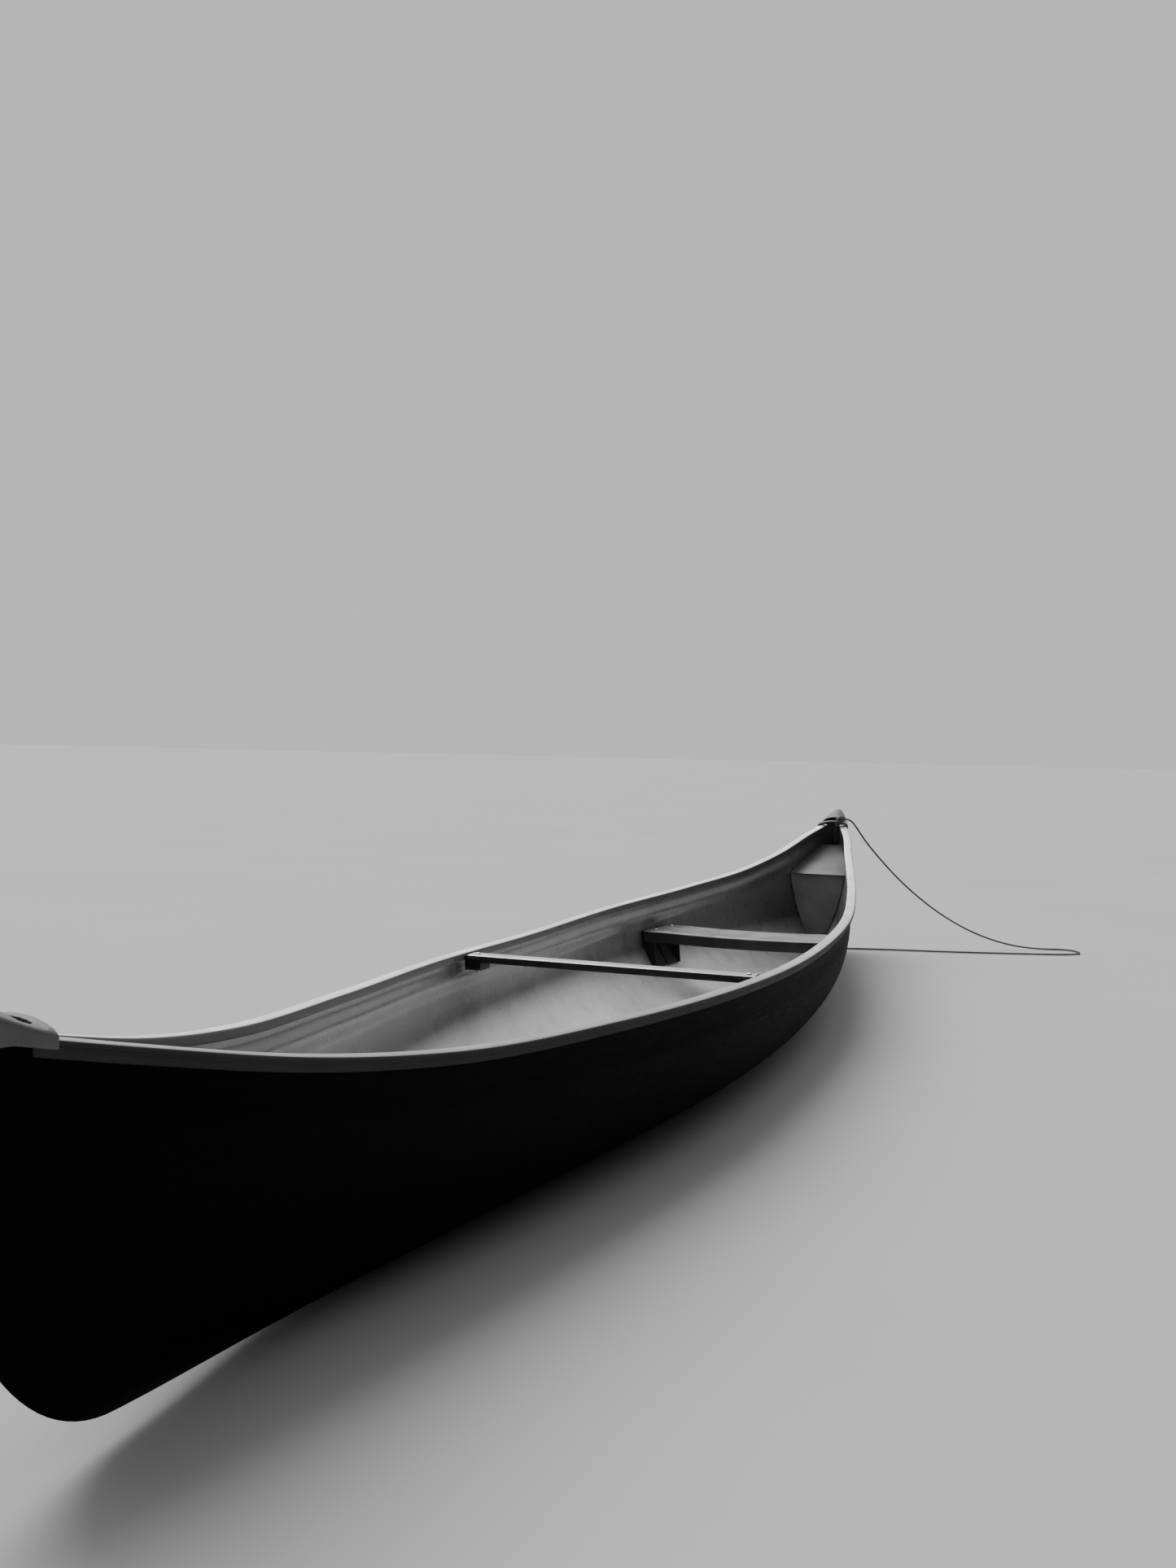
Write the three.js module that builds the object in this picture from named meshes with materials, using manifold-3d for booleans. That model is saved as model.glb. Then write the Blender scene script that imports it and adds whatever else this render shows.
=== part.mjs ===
// Canoe: a moulded double-ended hull with metal gunwales, two end caps, two buoyancy
// tanks, two bench seats on side brackets, one thwart and a bow painter.
// Millimetres. +X points to the bow, +Y to port, +Z up. The origin is the middle of the
// hull's bottom, and the canoe is the same shape ahead of and behind it.

import * as THREE from 'three';
import { mergeVertices } from 'three/addons/utils/BufferGeometryUtils.js';
import Module from 'manifold-3d';

const wasm = await Module();
wasm.setup();

// ---------------------------------------------------------------- driving dimensions

const GAP = 0.4;                 // clearance between pieces that touch

// Hull. The offsets are given at fractions of the half length.
const HALF_LENGTH = 2590;        // midships to the nose of an end cap
const STEM_SETBACK = 14;         // end cap's nose to the hull's stem
const HULL_HALF = HALF_LENGTH - STEM_SETBACK;
const OFFSET_STATIONS = [0, 0.24, 0.48, 0.68, 0.80, 0.90, 1];
const HALF_BREADTHS = [407, 385, 298, 203, 139, 85, 0];      // hull at the gunwale
const SHEER_HEIGHTS = [330, 342, 363, 398, 446, 504, 568];   // top of the gunwale
const ROCKER = 28;               // rise of the keel line at each end
const ROCKER_START = 0.35;       // fraction of the half length that is flat
const FLAT_FLOOR = 0.012;        // fraction of the depth that is flattened across the bottom
const STEM_RAKE = 320;           // length of the curved forefoot
const WALL = 5;                  // hull thickness
const STEM_SOLID = 60;           // solid laminate behind the stem
const KEEL_SOLID = 24;           // extra laminate on the keel line at the ends
const RIM_DROP = 7;              // hull's rim below the gunwale's top
const SIDE_WALL = 40;            // upright strip of hull under the rim
const MIDSHIP_FULLNESS = 2.75;   // superellipse exponent of the section
const END_FULLNESS = 1.3;
const FULLNESS_FADE = 1.3;       // how late the section slims toward the ends
const STEM_CURVE = 2.2;          // how round the forefoot is
const RAKE_ONSET = 6;            // how near the ends the forefoot's sweep starts
const STATION_COUNT = 22;        // stations in each half
const SECTION_ROWS = 11;         // rows from the keel to the upright strip

// Gunwale extrusion
const OUTWALE = 14;              // how far it stands outside the hull
const INWALE = 13;               // how far it stands inside the hull
const OUTER_FLANGE = 24;         // height of its outer side
const INNER_FLANGE = 20;
const GUNWALE_END = 0.955;       // fraction of the half length where it stops

// End cap
const CAP_AFT = 2445;            // its inboard edge
const CAP_WALL = 4;
const CAP_OVERHANG = 20;         // from the hull's side to the cap's side
const CAP_CROWN = 15;
const CAP_NOSE_RISE = 16;        // extra height at the nose
const CAP_LIFT = 5;              // cap's shoulder above the gunwale
const CAP_SKIRT = 14;            // cap's side below the gunwale's top
const NOSE_SKIRT = 44;           // cap's nose below the gunwale's top
const NOSE_RADIUS = 26;
const CAP_EDGE = 3;              // side's top below the shoulder
const HANDLE_BOW = 10;           // how far the handle bows inboard
const HANDLE_WIDTH = 20;
const HANDLE_DEPTH = 11;
const SLOT_WIDTH = 30;
const SLOT_LENGTH = 92;
const SLOT_CUT = 90;             // depth of the cut that opens the slot

// Buoyancy tanks
const BULKHEAD_X = 2130;
const BULKHEAD_FOOT = 75;
const TANK_TOP_HEIGHT = 350;
const TANK_TOP_SLOPE = 0.33;
const TANK_TOP_END = 2440;
const TANK_TOP_LIP = 5;          // how far it overhangs the bulkhead
const PANEL = 5;
const PANEL_CLEARANCE = 1.6;

// Seats
const SEAT_DEPTH = 205;          // fore and aft
const BOW_SEAT = { near: 846, top: 242 };
const STERN_SEAT = { near: 1360, top: 236 };
const SEAT_FLANGE = 38;
const SEAT_WALL = 4;
const SEAT_DISH = 5;
const BRACKET_FOOT = 115;        // height of a bracket's lower edge
const BRACKET_LEAF = 48;
const BRACKET_WALL = 4;
const BRACKET_CLEARANCE = 3;
const WEB_INSET = 1;             // end web inside the bracket's outline
const BRACKET_INNER_END = 8;     // each bracket's ends from the seat's middle
const BRACKET_OUTER_END = 92;
const SEAT_BOLT_SPREAD = 60;     // each bolt from the seat's middle

// Thwart
const THWART_X = -475.5;         // its after edge
const THWART_WIDTH = 52;
const THWART_HEIGHT = 18;
const THWART_WALL = 2.5;
const THWART_CORNER = 6;
const THWART_DROP = 4;           // its top below the gunwale's top
const SOCKET_LENGTH = 38;
const SOCKET_WALL = 3.5;
const SOCKET_FOOT = 38;          // its lower edge below the thwart's top
const THWART_END_GAP = 6;        // thwart's end to the gunwale

// Painter
const ROPE_RADIUS = 4;
const COIL_RADIUS = 45;          // middle of its turns
const COIL_CENTRE = new THREE.Vector3(1960, 330, 0);

// ---------------------------------------------------------------- hull lines

// A smooth curve through a table of values, level at its first entry.
function fairCurve(stations, values) {
  const last = stations.length - 1;
  const rise = (i) => (values[i + 1] - values[i]) / (stations[i + 1] - stations[i]);
  const slopes = stations.map((station, i) => {
    if (i === 0 || i === last) return 0;
    const before = station - stations[i - 1];
    const after = stations[i + 1] - station;
    return (rise(i - 1) * after + rise(i) * before) / (before + after);
  });
  slopes[last] = 2 * rise(last - 1) - slopes[last - 1];
  return (u) => {
    let i = 0;
    while (i < last - 1 && u > stations[i + 1]) i += 1;
    const width = stations[i + 1] - stations[i];
    const t = THREE.MathUtils.clamp((u - stations[i]) / width, 0, 1);
    const back = 1 - t;
    return values[i] * (1 + 2 * t) * back * back + width * slopes[i] * t * back * back
      + values[i + 1] * t * t * (3 - 2 * t) - width * slopes[i + 1] * t * t * back;
  };
}

const halfBreadth = fairCurve(OFFSET_STATIONS, HALF_BREADTHS);
const sheer = fairCurve(OFFSET_STATIONS, SHEER_HEIGHTS);

function keelHeight(u) {
  return ROCKER * Math.max(0, (u - ROCKER_START) / (1 - ROCKER_START)) ** 2;
}

function fullness(u) {
  return MIDSHIP_FULLNESS - (MIDSHIP_FULLNESS - END_FULLNESS) * u ** FULLNESS_FADE;
}

// The bottom's flattened strip takes the lowest part out of the section's rise.
function flatFloor(u) {
  return FLAT_FLOOR * (1 - u * u);
}

// How far the stem has swept forward at a fraction of the hull's depth.
function stemReach(rise) {
  return Math.sqrt(1 - (1 - rise) ** STEM_CURVE);
}

// The outside and the inside of the hull are the same kind of surface. Their stations
// stand side by side until the inside closes short of the stem.
const INSIDE_HALF = HULL_HALF - STEM_SOLID;
const INSIDE_CLOSES = 0.98;
const STRETCH_FADE = 12;
const SOLID_ONSET = 4;
const OUTSIDE = {
  half: HULL_HALF,
  fraction: (station) => station,
  breadth: (u) => halfBreadth(u),
  keel: (u) => keelHeight(u),
};
const INSIDE = {
  half: INSIDE_HALF,
  fraction: (station) => {
    const stretch = HULL_HALF / INSIDE_HALF - 1;
    return station * (1 + stretch * (1 - Math.abs(station) ** STRETCH_FADE));
  },
  breadth: (u) => {
    const past = Math.max(0, u - INSIDE_CLOSES) / (1 - INSIDE_CLOSES);
    return (halfBreadth(u * INSIDE_HALF / HULL_HALF) - WALL) * Math.sqrt(1 - Math.min(1, past) ** 2);
  },
  keel: (u) => keelHeight(u) + WALL + KEEL_SOLID * u ** SOLID_ONSET,
};

function sheerAt(surface, u) {
  return sheer(u * surface.half / HULL_HALF);
}

function sideTop(surface, u) {
  return sheerAt(surface, u) - RIM_DROP - SIDE_WALL;
}

// A point of a hull surface at a station (-1 stern to 1 bow) and a row up the port side.
function hullPoint(surface, station, row) {
  const u = Math.abs(surface.fraction(station));
  const breadth = surface.breadth(u);
  const keel = surface.keel(u);
  let side = 1;
  let rise = 1;
  if (row < SECTION_ROWS) {
    const angle = row / SECTION_ROWS * Math.PI / 2;
    const power = 2 / fullness(u);
    side = Math.sin(angle) ** power;
    rise = Math.max(0, 1 - Math.cos(angle) ** power - flatFloor(u)) / (1 - flatFloor(u));
  }
  const overSide = row > SECTION_ROWS ? SIDE_WALL : 0;
  const length = surface.half * u - STEM_RAKE * (1 - stemReach(rise)) * u ** RAKE_ONSET;
  return new THREE.Vector3(
    Math.sign(station) * length,
    u === 1 ? 0 : breadth * side,
    keel + (sideTop(surface, u) - keel) * rise + overSide,
  );
}

// Half breadth of the hull's inside at a place ahead of midships and a height.
function insideHalfBreadth(x, z) {
  let u = x / INSIDE.half;
  let rise = 0;
  for (let pass = 0; pass < 30; pass += 1) {
    const keel = INSIDE.keel(u);
    rise = THREE.MathUtils.clamp((z - keel) / (sideTop(INSIDE, u) - keel), 0, 1);
    u = Math.min(1, (x + STEM_RAKE * (1 - stemReach(rise)) * u ** RAKE_ONSET) / INSIDE.half);
  }
  const power = fullness(u);
  const fullRise = rise * (1 - flatFloor(u)) + flatFloor(u);
  return INSIDE.breadth(u) * (1 - (1 - fullRise) ** power) ** (1 / power);
}

// Stations close up toward the ends, where the hull curves most.
const STATIONS = Array.from({ length: 2 * STATION_COUNT + 1 }, (_, i) => {
  const step = i - STATION_COUNT;
  if (Math.abs(step) === STATION_COUNT) return Math.sign(step);
  return Math.sin(step / STATION_COUNT * Math.PI / 2);
});

// ---------------------------------------------------------------- solids

function signedVolume(triangles) {
  let sum = 0;
  for (const [a, b, c] of triangles) sum += a.dot(new THREE.Vector3().crossVectors(b, c));
  return sum / 6;
}

// A closed solid from triangles that all face the same way.
function solidFrom(triangles) {
  const outward = signedVolume(triangles) > 0;
  const numbers = [];
  for (const [a, b, c] of triangles) {
    const corners = outward ? [a, b, c] : [a, c, b];
    for (const corner of corners) numbers.push(corner.x, corner.y, corner.z);
  }
  const geometry = new THREE.BufferGeometry();
  geometry.setAttribute('position', new THREE.Float32BufferAttribute(numbers, 3));
  geometry.computeVertexNormals();
  return geometry;
}

function addQuad(triangles, a, b, c, d) {
  triangles.push([a, b, c], [a, c, d]);
}

// The triangles that close a flat outline, facing along its own normal.
function closeOutline(outline) {
  const normal = new THREE.Vector3();
  outline.forEach((point, i) => {
    normal.add(new THREE.Vector3().crossVectors(point, outline[(i + 1) % outline.length]));
  });
  normal.normalize();
  const start = outline[0];
  const across = new THREE.Vector3().subVectors(outline[1], start).normalize();
  const up = new THREE.Vector3().crossVectors(normal, across);
  const flat = outline.map((point) => {
    const offset = new THREE.Vector3().subVectors(point, start);
    return new THREE.Vector2(offset.dot(across), offset.dot(up));
  });
  return THREE.ShapeUtils.triangulateShape(flat, []).map((corners) => {
    const [a, b, c] = corners.map((i) => outline[i]);
    const edge = new THREE.Vector3().subVectors(b, a);
    const facing = edge.cross(new THREE.Vector3().subVectors(c, a)).dot(normal);
    return facing > 0 ? [a, b, c] : [a, c, b];
  });
}

// A solid through a row of flat outlines that have the same number of points.
function loft(outlines) {
  const triangles = [];
  const count = outlines[0].length;
  for (let i = 0; i < outlines.length - 1; i += 1) {
    for (let k = 0; k < count; k += 1) {
      const next = (k + 1) % count;
      addQuad(triangles, outlines[i][k], outlines[i][next],
        outlines[i + 1][next], outlines[i + 1][k]);
    }
  }
  triangles.push(...closeOutline(outlines.at(-1)));
  triangles.push(...closeOutline(outlines[0]).map(([a, b, c]) => [a, c, b]));
  return solidFrom(triangles);
}

function toManifold(geometry) {
  const bare = new THREE.BufferGeometry();
  bare.setAttribute('position', geometry.getAttribute('position').clone());
  if (geometry.index) bare.setIndex(geometry.index.clone());
  const merged = mergeVertices(bare, 1e-3);
  return new wasm.Manifold(new wasm.Mesh({
    numProp: 3,
    vertProperties: new Float32Array(merged.getAttribute('position').array),
    triVerts: new Uint32Array(merged.index.array),
  }));
}

function fromManifold(body) {
  const mesh = body.getMesh();
  const geometry = new THREE.BufferGeometry();
  geometry.setAttribute('position', new THREE.BufferAttribute(mesh.vertProperties, 3));
  geometry.setIndex(new THREE.BufferAttribute(mesh.triVerts, 1));
  geometry.computeVertexNormals();
  return geometry;
}

function cut(geometry, cutters) {
  return fromManifold(cutters.reduce(
    (body, cutter) => body.subtract(toManifold(cutter)), toManifold(geometry)));
}

function join(geometries) {
  return fromManifold(geometries.map(toManifold).reduce((body, other) => body.add(other)));
}

// A round solid about a vertical line, from [radius, height] pairs that start and end on it.
function turned(profile, place, sides = 12) {
  const points = profile.map(([radius, height]) => new THREE.Vector2(radius, height));
  const geometry = new THREE.LatheGeometry(points, sides);
  geometry.rotateX(Math.PI / 2);
  geometry.translate(place.x, place.y, place.z);
  return geometry;
}

function drill(place, radius, depth) {
  return turned([[0, -depth], [radius, -depth], [radius, depth], [0, depth]], place);
}

function box(width, length, height, place) {
  const geometry = new THREE.BoxGeometry(width, length, height);
  geometry.translate(place.x, place.y, place.z);
  return geometry;
}

// ---------------------------------------------------------------- materials

function material(color, roughness, metalness) {
  return new THREE.MeshStandardMaterial({ color, roughness, metalness });
}

const LOOKS = {
  hull: () => material(0x3f4142, 0.55, 0),
  aluminium: () => material(0xb9bbbc, 0.42, 1),
  cap: () => material(0x8b8d8e, 0.6, 0),
  panel: () => material(0x55585a, 0.55, 0),
  seat: () => material(0x6d6f70, 0.6, 0),
  bracket: () => material(0x2a2b2c, 0.6, 0),
  bolt: () => material(0x9d9fa0, 0.3, 1),
  rope: () => material(0x7d7f80, 0.9, 0),
};

const canoe = new THREE.Group();

function place(name, geometry, look, turn = 0) {
  const mesh = new THREE.Mesh(geometry, LOOKS[look]());
  mesh.name = name;
  mesh.rotation.z = turn;
  canoe.add(mesh);
}

const ENDS = [
  { name: 'bow', turn: 0 },
  { name: 'stern', turn: Math.PI },
];
const SIDES = [
  { name: 'port', sign: 1 },
  { name: 'starboard', sign: -1 },
];

// ---------------------------------------------------------------- hull shell

function hullShell() {
  const triangles = [];
  const topRow = SECTION_ROWS + 1;
  for (const { sign } of SIDES) {
    const at = (surface, i, row) => {
      const point = hullPoint(surface, STATIONS[i], row);
      point.y *= sign;
      return point;
    };
    const skin = (a, b, c, d) => {
      if (sign > 0) addQuad(triangles, a, b, c, d);
      else addQuad(triangles, d, c, b, a);
    };
    for (let i = 0; i < STATIONS.length - 1; i += 1) {
      for (let row = 0; row < topRow; row += 1) {
        skin(at(OUTSIDE, i, row), at(OUTSIDE, i, row + 1),
          at(OUTSIDE, i + 1, row + 1), at(OUTSIDE, i + 1, row));
        skin(at(INSIDE, i + 1, row), at(INSIDE, i + 1, row + 1),
          at(INSIDE, i, row + 1), at(INSIDE, i, row));
      }
      skin(at(OUTSIDE, i, topRow), at(INSIDE, i, topRow),
        at(INSIDE, i + 1, topRow), at(OUTSIDE, i + 1, topRow));
    }
  }
  return solidFrom(triangles);
}

place('hull_shell', hullShell(), 'hull');

// ---------------------------------------------------------------- gunwales

// The extrusion's outline: outboard and up from the hull's outer face and the sheer line.
const GUNWALE_OUTLINE = [
  [GAP, -OUTER_FLANGE],
  [GAP + 4, -OUTER_FLANGE],
  [GAP + 6, -OUTER_FLANGE + 2],
  [OUTWALE - 1, -10],
  [OUTWALE, -6],
  [OUTWALE - 1.5, -2],
  [OUTWALE - 5, 0],
  [-WALL - INWALE + 5, 0],
  [-WALL - INWALE + 1.5, -2],
  [-WALL - INWALE, -6],
  [-WALL - INWALE + 1, -INNER_FLANGE + 3],
  [-WALL - INWALE + 3, -INNER_FLANGE],
  [-WALL - GAP - 0.4, -INNER_FLANGE],
  [-WALL - GAP - 0.4, -RIM_DROP + GAP + 0.3],
  [GAP, -RIM_DROP + GAP + 0.3],
];

// The sheer line at a station, with the level direction that points outboard from it.
function sheerFrame(station, sign) {
  const u = Math.abs(station);
  const step = 0.002;
  const ahead = halfBreadth(Math.min(1, u + step));
  const behind = halfBreadth(Math.max(0, u - step));
  const taper = u < step ? 0 : (ahead - behind) / (2 * step * HULL_HALF);
  const outboard = new THREE.Vector3(-taper * Math.sign(station), 1, 0).normalize();
  outboard.y *= sign;
  const point = new THREE.Vector3(HULL_HALF * station, sign * halfBreadth(u), sheer(u));
  return { point, outboard };
}

function gunwale(sign) {
  const inner = STATIONS.filter((station) => Math.abs(station) < GUNWALE_END - 0.005);
  const outlines = [-GUNWALE_END, ...inner, GUNWALE_END].map((station) => {
    const { point, outboard } = sheerFrame(station, sign);
    return GUNWALE_OUTLINE.map(([out, up]) => point.clone()
      .addScaledVector(outboard, out)
      .add(new THREE.Vector3(0, 0, up)));
  });
  return loft(outlines);
}

for (const { name, sign } of SIDES) place(`gunwale_${name}`, gunwale(sign), 'aluminium');

// ---------------------------------------------------------------- end caps

const NOSE_CENTRE = HALF_LENGTH - NOSE_RADIUS;
const CAP_LENGTH = HALF_LENGTH - CAP_AFT;
const NOSE_RISE_END = 0.75;      // fraction of the cap's length where the rise is complete

function capHalfWidth(x) {
  const overHull = halfBreadth(Math.min(1, x / HULL_HALF)) + CAP_OVERHANG;
  if (x <= NOSE_CENTRE) return overHull;
  const round = Math.sqrt(Math.max(0, NOSE_RADIUS ** 2 - (x - NOSE_CENTRE) ** 2));
  return Math.min(overHull, round);
}

function capSheer(x) {
  return sheer(Math.min(1, x / HULL_HALF));
}

function capShoulder(x) {
  const along = (x - CAP_AFT) / CAP_LENGTH;
  return capSheer(x) + CAP_LIFT + CAP_NOSE_RISE * THREE.MathUtils.smoothstep(along, 0, NOSE_RISE_END);
}

// One section of the cap, a wall's thickness smaller for its hollow.
function capSection(x, shrink, drop) {
  const width = capHalfWidth(x) - shrink;
  const along = (x - CAP_AFT) / CAP_LENGTH;
  const skirt = THREE.MathUtils.lerp(CAP_SKIRT, NOSE_SKIRT, THREE.MathUtils.smoothstep(along, 0.3, 1));
  const shoulder = capShoulder(x) - shrink;
  const roundNose = Math.sqrt(1 - 0.8 * Math.max(0, (x - NOSE_CENTRE) / NOSE_RADIUS) ** 2);
  const crown = CAP_CROWN * roundNose;
  const outline = [[-width, shoulder - CAP_EDGE]];
  for (const side of [-0.94, -0.7, -0.4, 0, 0.4, 0.7, 0.94]) {
    outline.push([width * side, shoulder + crown * (1 - side * side)]);
  }
  outline.push([width, shoulder - CAP_EDGE], [width, capSheer(x) - skirt - drop]);
  outline.push([-width, capSheer(x) - skirt - drop]);
  return outline.map(([y, z]) => new THREE.Vector3(x, y, z));
}

function capLoft(stations, shrink, drop) {
  return loft(stations.map((x) => capSection(x, shrink, drop)));
}

// How far the inboard edge bows toward midships at a distance from the centre line.
function handleBow(y) {
  return HANDLE_BOW * Math.max(0, 1 - (y / capHalfWidth(CAP_AFT)) ** 2);
}

// The rounded bar along the cap's inboard edge.
function handleBar() {
  const reach = capHalfWidth(CAP_AFT) - 10;
  const middle = CAP_AFT + HANDLE_WIDTH / 2;
  const outlines = [];
  for (let i = 0; i <= 8; i += 1) {
    const y = reach * (i / 4 - 1);
    const side = y / capHalfWidth(CAP_AFT);
    const top = capSheer(middle) + CAP_LIFT + CAP_CROWN * (1 - side * side);
    const outline = [];
    for (let k = 0; k < 10; k += 1) {
      const angle = k / 10 * 2 * Math.PI;
      outline.push(new THREE.Vector3(
        middle - handleBow(y) + HANDLE_WIDTH / 2 * Math.cos(angle),
        y,
        top - HANDLE_DEPTH / 2 + HANDLE_DEPTH / 2 * Math.sin(angle),
      ));
    }
    outlines.push(outline);
  }
  return loft(outlines);
}

const SLOT_X = CAP_AFT + HANDLE_WIDTH + SLOT_WIDTH / 2 - HANDLE_BOW + 1;
const HANDLE_Z = capSheer(CAP_AFT + HANDLE_WIDTH / 2) + CAP_LIFT + CAP_CROWN - HANDLE_DEPTH / 2;

function handSlot() {
  const shape = new THREE.Shape();
  const straight = SLOT_LENGTH / 2 - SLOT_WIDTH / 2;
  shape.absarc(0, straight, SLOT_WIDTH / 2, 0, Math.PI, false);
  shape.absarc(0, -straight, SLOT_WIDTH / 2, Math.PI, 2 * Math.PI, false);
  const options = { depth: SLOT_CUT, bevelEnabled: false, curveSegments: 5 };
  const geometry = new THREE.ExtrudeGeometry(shape, options);
  geometry.translate(SLOT_X, 0, HANDLE_Z - SLOT_CUT / 2);
  return geometry;
}

function endCap() {
  const outerStations = [CAP_AFT, 2470, 2500, 2530, NOSE_CENTRE, 2574, 2582, HALF_LENGTH - 1.5];
  const innerStations = [CAP_AFT - 40, CAP_AFT, 2470, 2500, 2530, NOSE_CENTRE, 2574, 2581];
  const outer = capLoft(outerStations, 0, 0);
  const hollow = capLoft(innerStations, CAP_WALL, 6);
  const shell = cut(outer, [hollow]);
  return cut(join([shell, handleBar()]), [handSlot()]);
}

for (const { name, turn } of ENDS) place(`${name}_deck_cap`, endCap(), 'cap', turn);

// ---------------------------------------------------------------- buoyancy tanks

function tankTopHeight(x) {
  return TANK_TOP_HEIGHT + (x - BULKHEAD_X) * TANK_TOP_SLOPE;
}

// The flat panel that closes the tank, shaped to the inside of the hull.
function bulkhead() {
  const foot = BULKHEAD_FOOT;
  const head = TANK_TOP_HEIGHT - PANEL - GAP;
  const rows = 10;
  const outline = [];
  for (let i = 0; i <= rows; i += 1) {
    const z = foot + (head - foot) * (i / rows) ** 1.4;
    outline.push([insideHalfBreadth(BULKHEAD_X + PANEL, z) - PANEL_CLEARANCE, z]);
  }
  for (let i = rows; i >= 0; i -= 1) outline.push([-outline[i][0], outline[i][1]]);
  return loft([BULKHEAD_X, BULKHEAD_X + PANEL].map(
    (x) => outline.map(([y, z]) => new THREE.Vector3(x, y, z))));
}

// The tank's lid, which rises with the sheer.
function tankTop() {
  const outlines = [];
  for (let i = 0; i <= 8; i += 1) {
    const x = THREE.MathUtils.lerp(BULKHEAD_X - TANK_TOP_LIP, TANK_TOP_END, i / 8);
    const top = tankTopHeight(x);
    const half = insideHalfBreadth(x, top - PANEL) - PANEL_CLEARANCE;
    outlines.push([[-half, top - PANEL], [half, top - PANEL], [half, top], [-half, top]]
      .map(([y, z]) => new THREE.Vector3(x, y, z)));
  }
  return loft(outlines);
}

for (const { name, turn } of ENDS) {
  place(`${name}_bulkhead`, bulkhead(), 'panel', turn);
  place(`${name}_tank_top`, tankTop(), 'panel', turn);
}

// ---------------------------------------------------------------- seats

// Half breadth of the hull's inside at a seat's lowest edge, less room for its bracket.
function seatHalfBreadth(x, top) {
  return insideHalfBreadth(x, top - SEAT_FLANGE) - BRACKET_CLEARANCE - BRACKET_WALL - 2;
}

// Where a seat's bolts stand: near each end, two to a bracket.
function seatBoltPlaces(near, top) {
  const middle = near + SEAT_DEPTH / 2;
  return [-1, 1].flatMap((step) => SIDES.map(({ name, sign }) => {
    const x = middle + step * SEAT_BOLT_SPREAD;
    const y = sign * (seatHalfBreadth(x, top) - BRACKET_LEAF / 2);
    return { name, step, point: new THREE.Vector3(x, y, top) };
  }));
}

const BOLT_SHANK = 3;            // radii
const BOLT_HEAD = 7;
const NUT_RADIUS = 5.5;
const NUT_HEIGHT = 5.5;
const BOLT_TAIL = 3.5;           // how far it stands out of its nut
const BOLT_DOME = 3.6;
const HOLE_REACH = 60;           // depth of the cut that opens a hole, up and down

function boltHole(point) {
  return drill(point, BOLT_SHANK + GAP, HOLE_REACH);
}

// A round-headed bolt with its nut, from the underside of its head to the top of the nut.
function boltThrough(x, y, head, nut) {
  const foot = nut - NUT_HEIGHT;
  return turned([
    [0, foot - BOLT_TAIL], [BOLT_SHANK, foot - BOLT_TAIL], [BOLT_SHANK, foot], [NUT_RADIUS, foot],
    [NUT_RADIUS, nut], [BOLT_SHANK, nut], [BOLT_SHANK, head], [BOLT_HEAD, head],
    [BOLT_HEAD * 0.83, head + BOLT_DOME * 0.6], [BOLT_SHANK, head + BOLT_DOME * 0.94],
    [0, head + BOLT_DOME],
  ], new THREE.Vector3(x, y, 0), 10);
}

// A bench with flanges along its front and back and a shallow dish along its middle.
function bench({ near, top }) {
  const far = near + SEAT_DEPTH;
  const section = [
    [0, -SEAT_FLANGE], [0, -6], [2, -2], [6, 0], [SEAT_DEPTH - 6, 0], [SEAT_DEPTH - 2, -2],
    [SEAT_DEPTH, -6], [SEAT_DEPTH, -SEAT_FLANGE], [SEAT_DEPTH - SEAT_WALL, -SEAT_FLANGE],
    [SEAT_DEPTH - SEAT_WALL, -8], [SEAT_DEPTH - 8, -SEAT_WALL], [8, -SEAT_WALL],
    [SEAT_WALL, -8], [SEAT_WALL, -SEAT_FLANGE],
  ];
  const reachNear = seatHalfBreadth(near, top);
  const reachFar = seatHalfBreadth(far, top);
  const outlines = [-1, -0.8, -0.5, -0.2, 0.2, 0.5, 0.8, 1].map((side) => {
    const dish = Math.abs(side) < 0.8 ? SEAT_DISH * (1 - (side / 0.8) ** 2) : 0;
    return section.map(([along, up]) => {
      const reach = THREE.MathUtils.lerp(reachNear, reachFar, along / SEAT_DEPTH);
      return new THREE.Vector3(near + along, side * reach, top + up - dish);
    });
  });
  const cutters = seatBoltPlaces(near, top).map(({ point }) => boltHole(point));
  return cut(loft(outlines), cutters);
}

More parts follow.
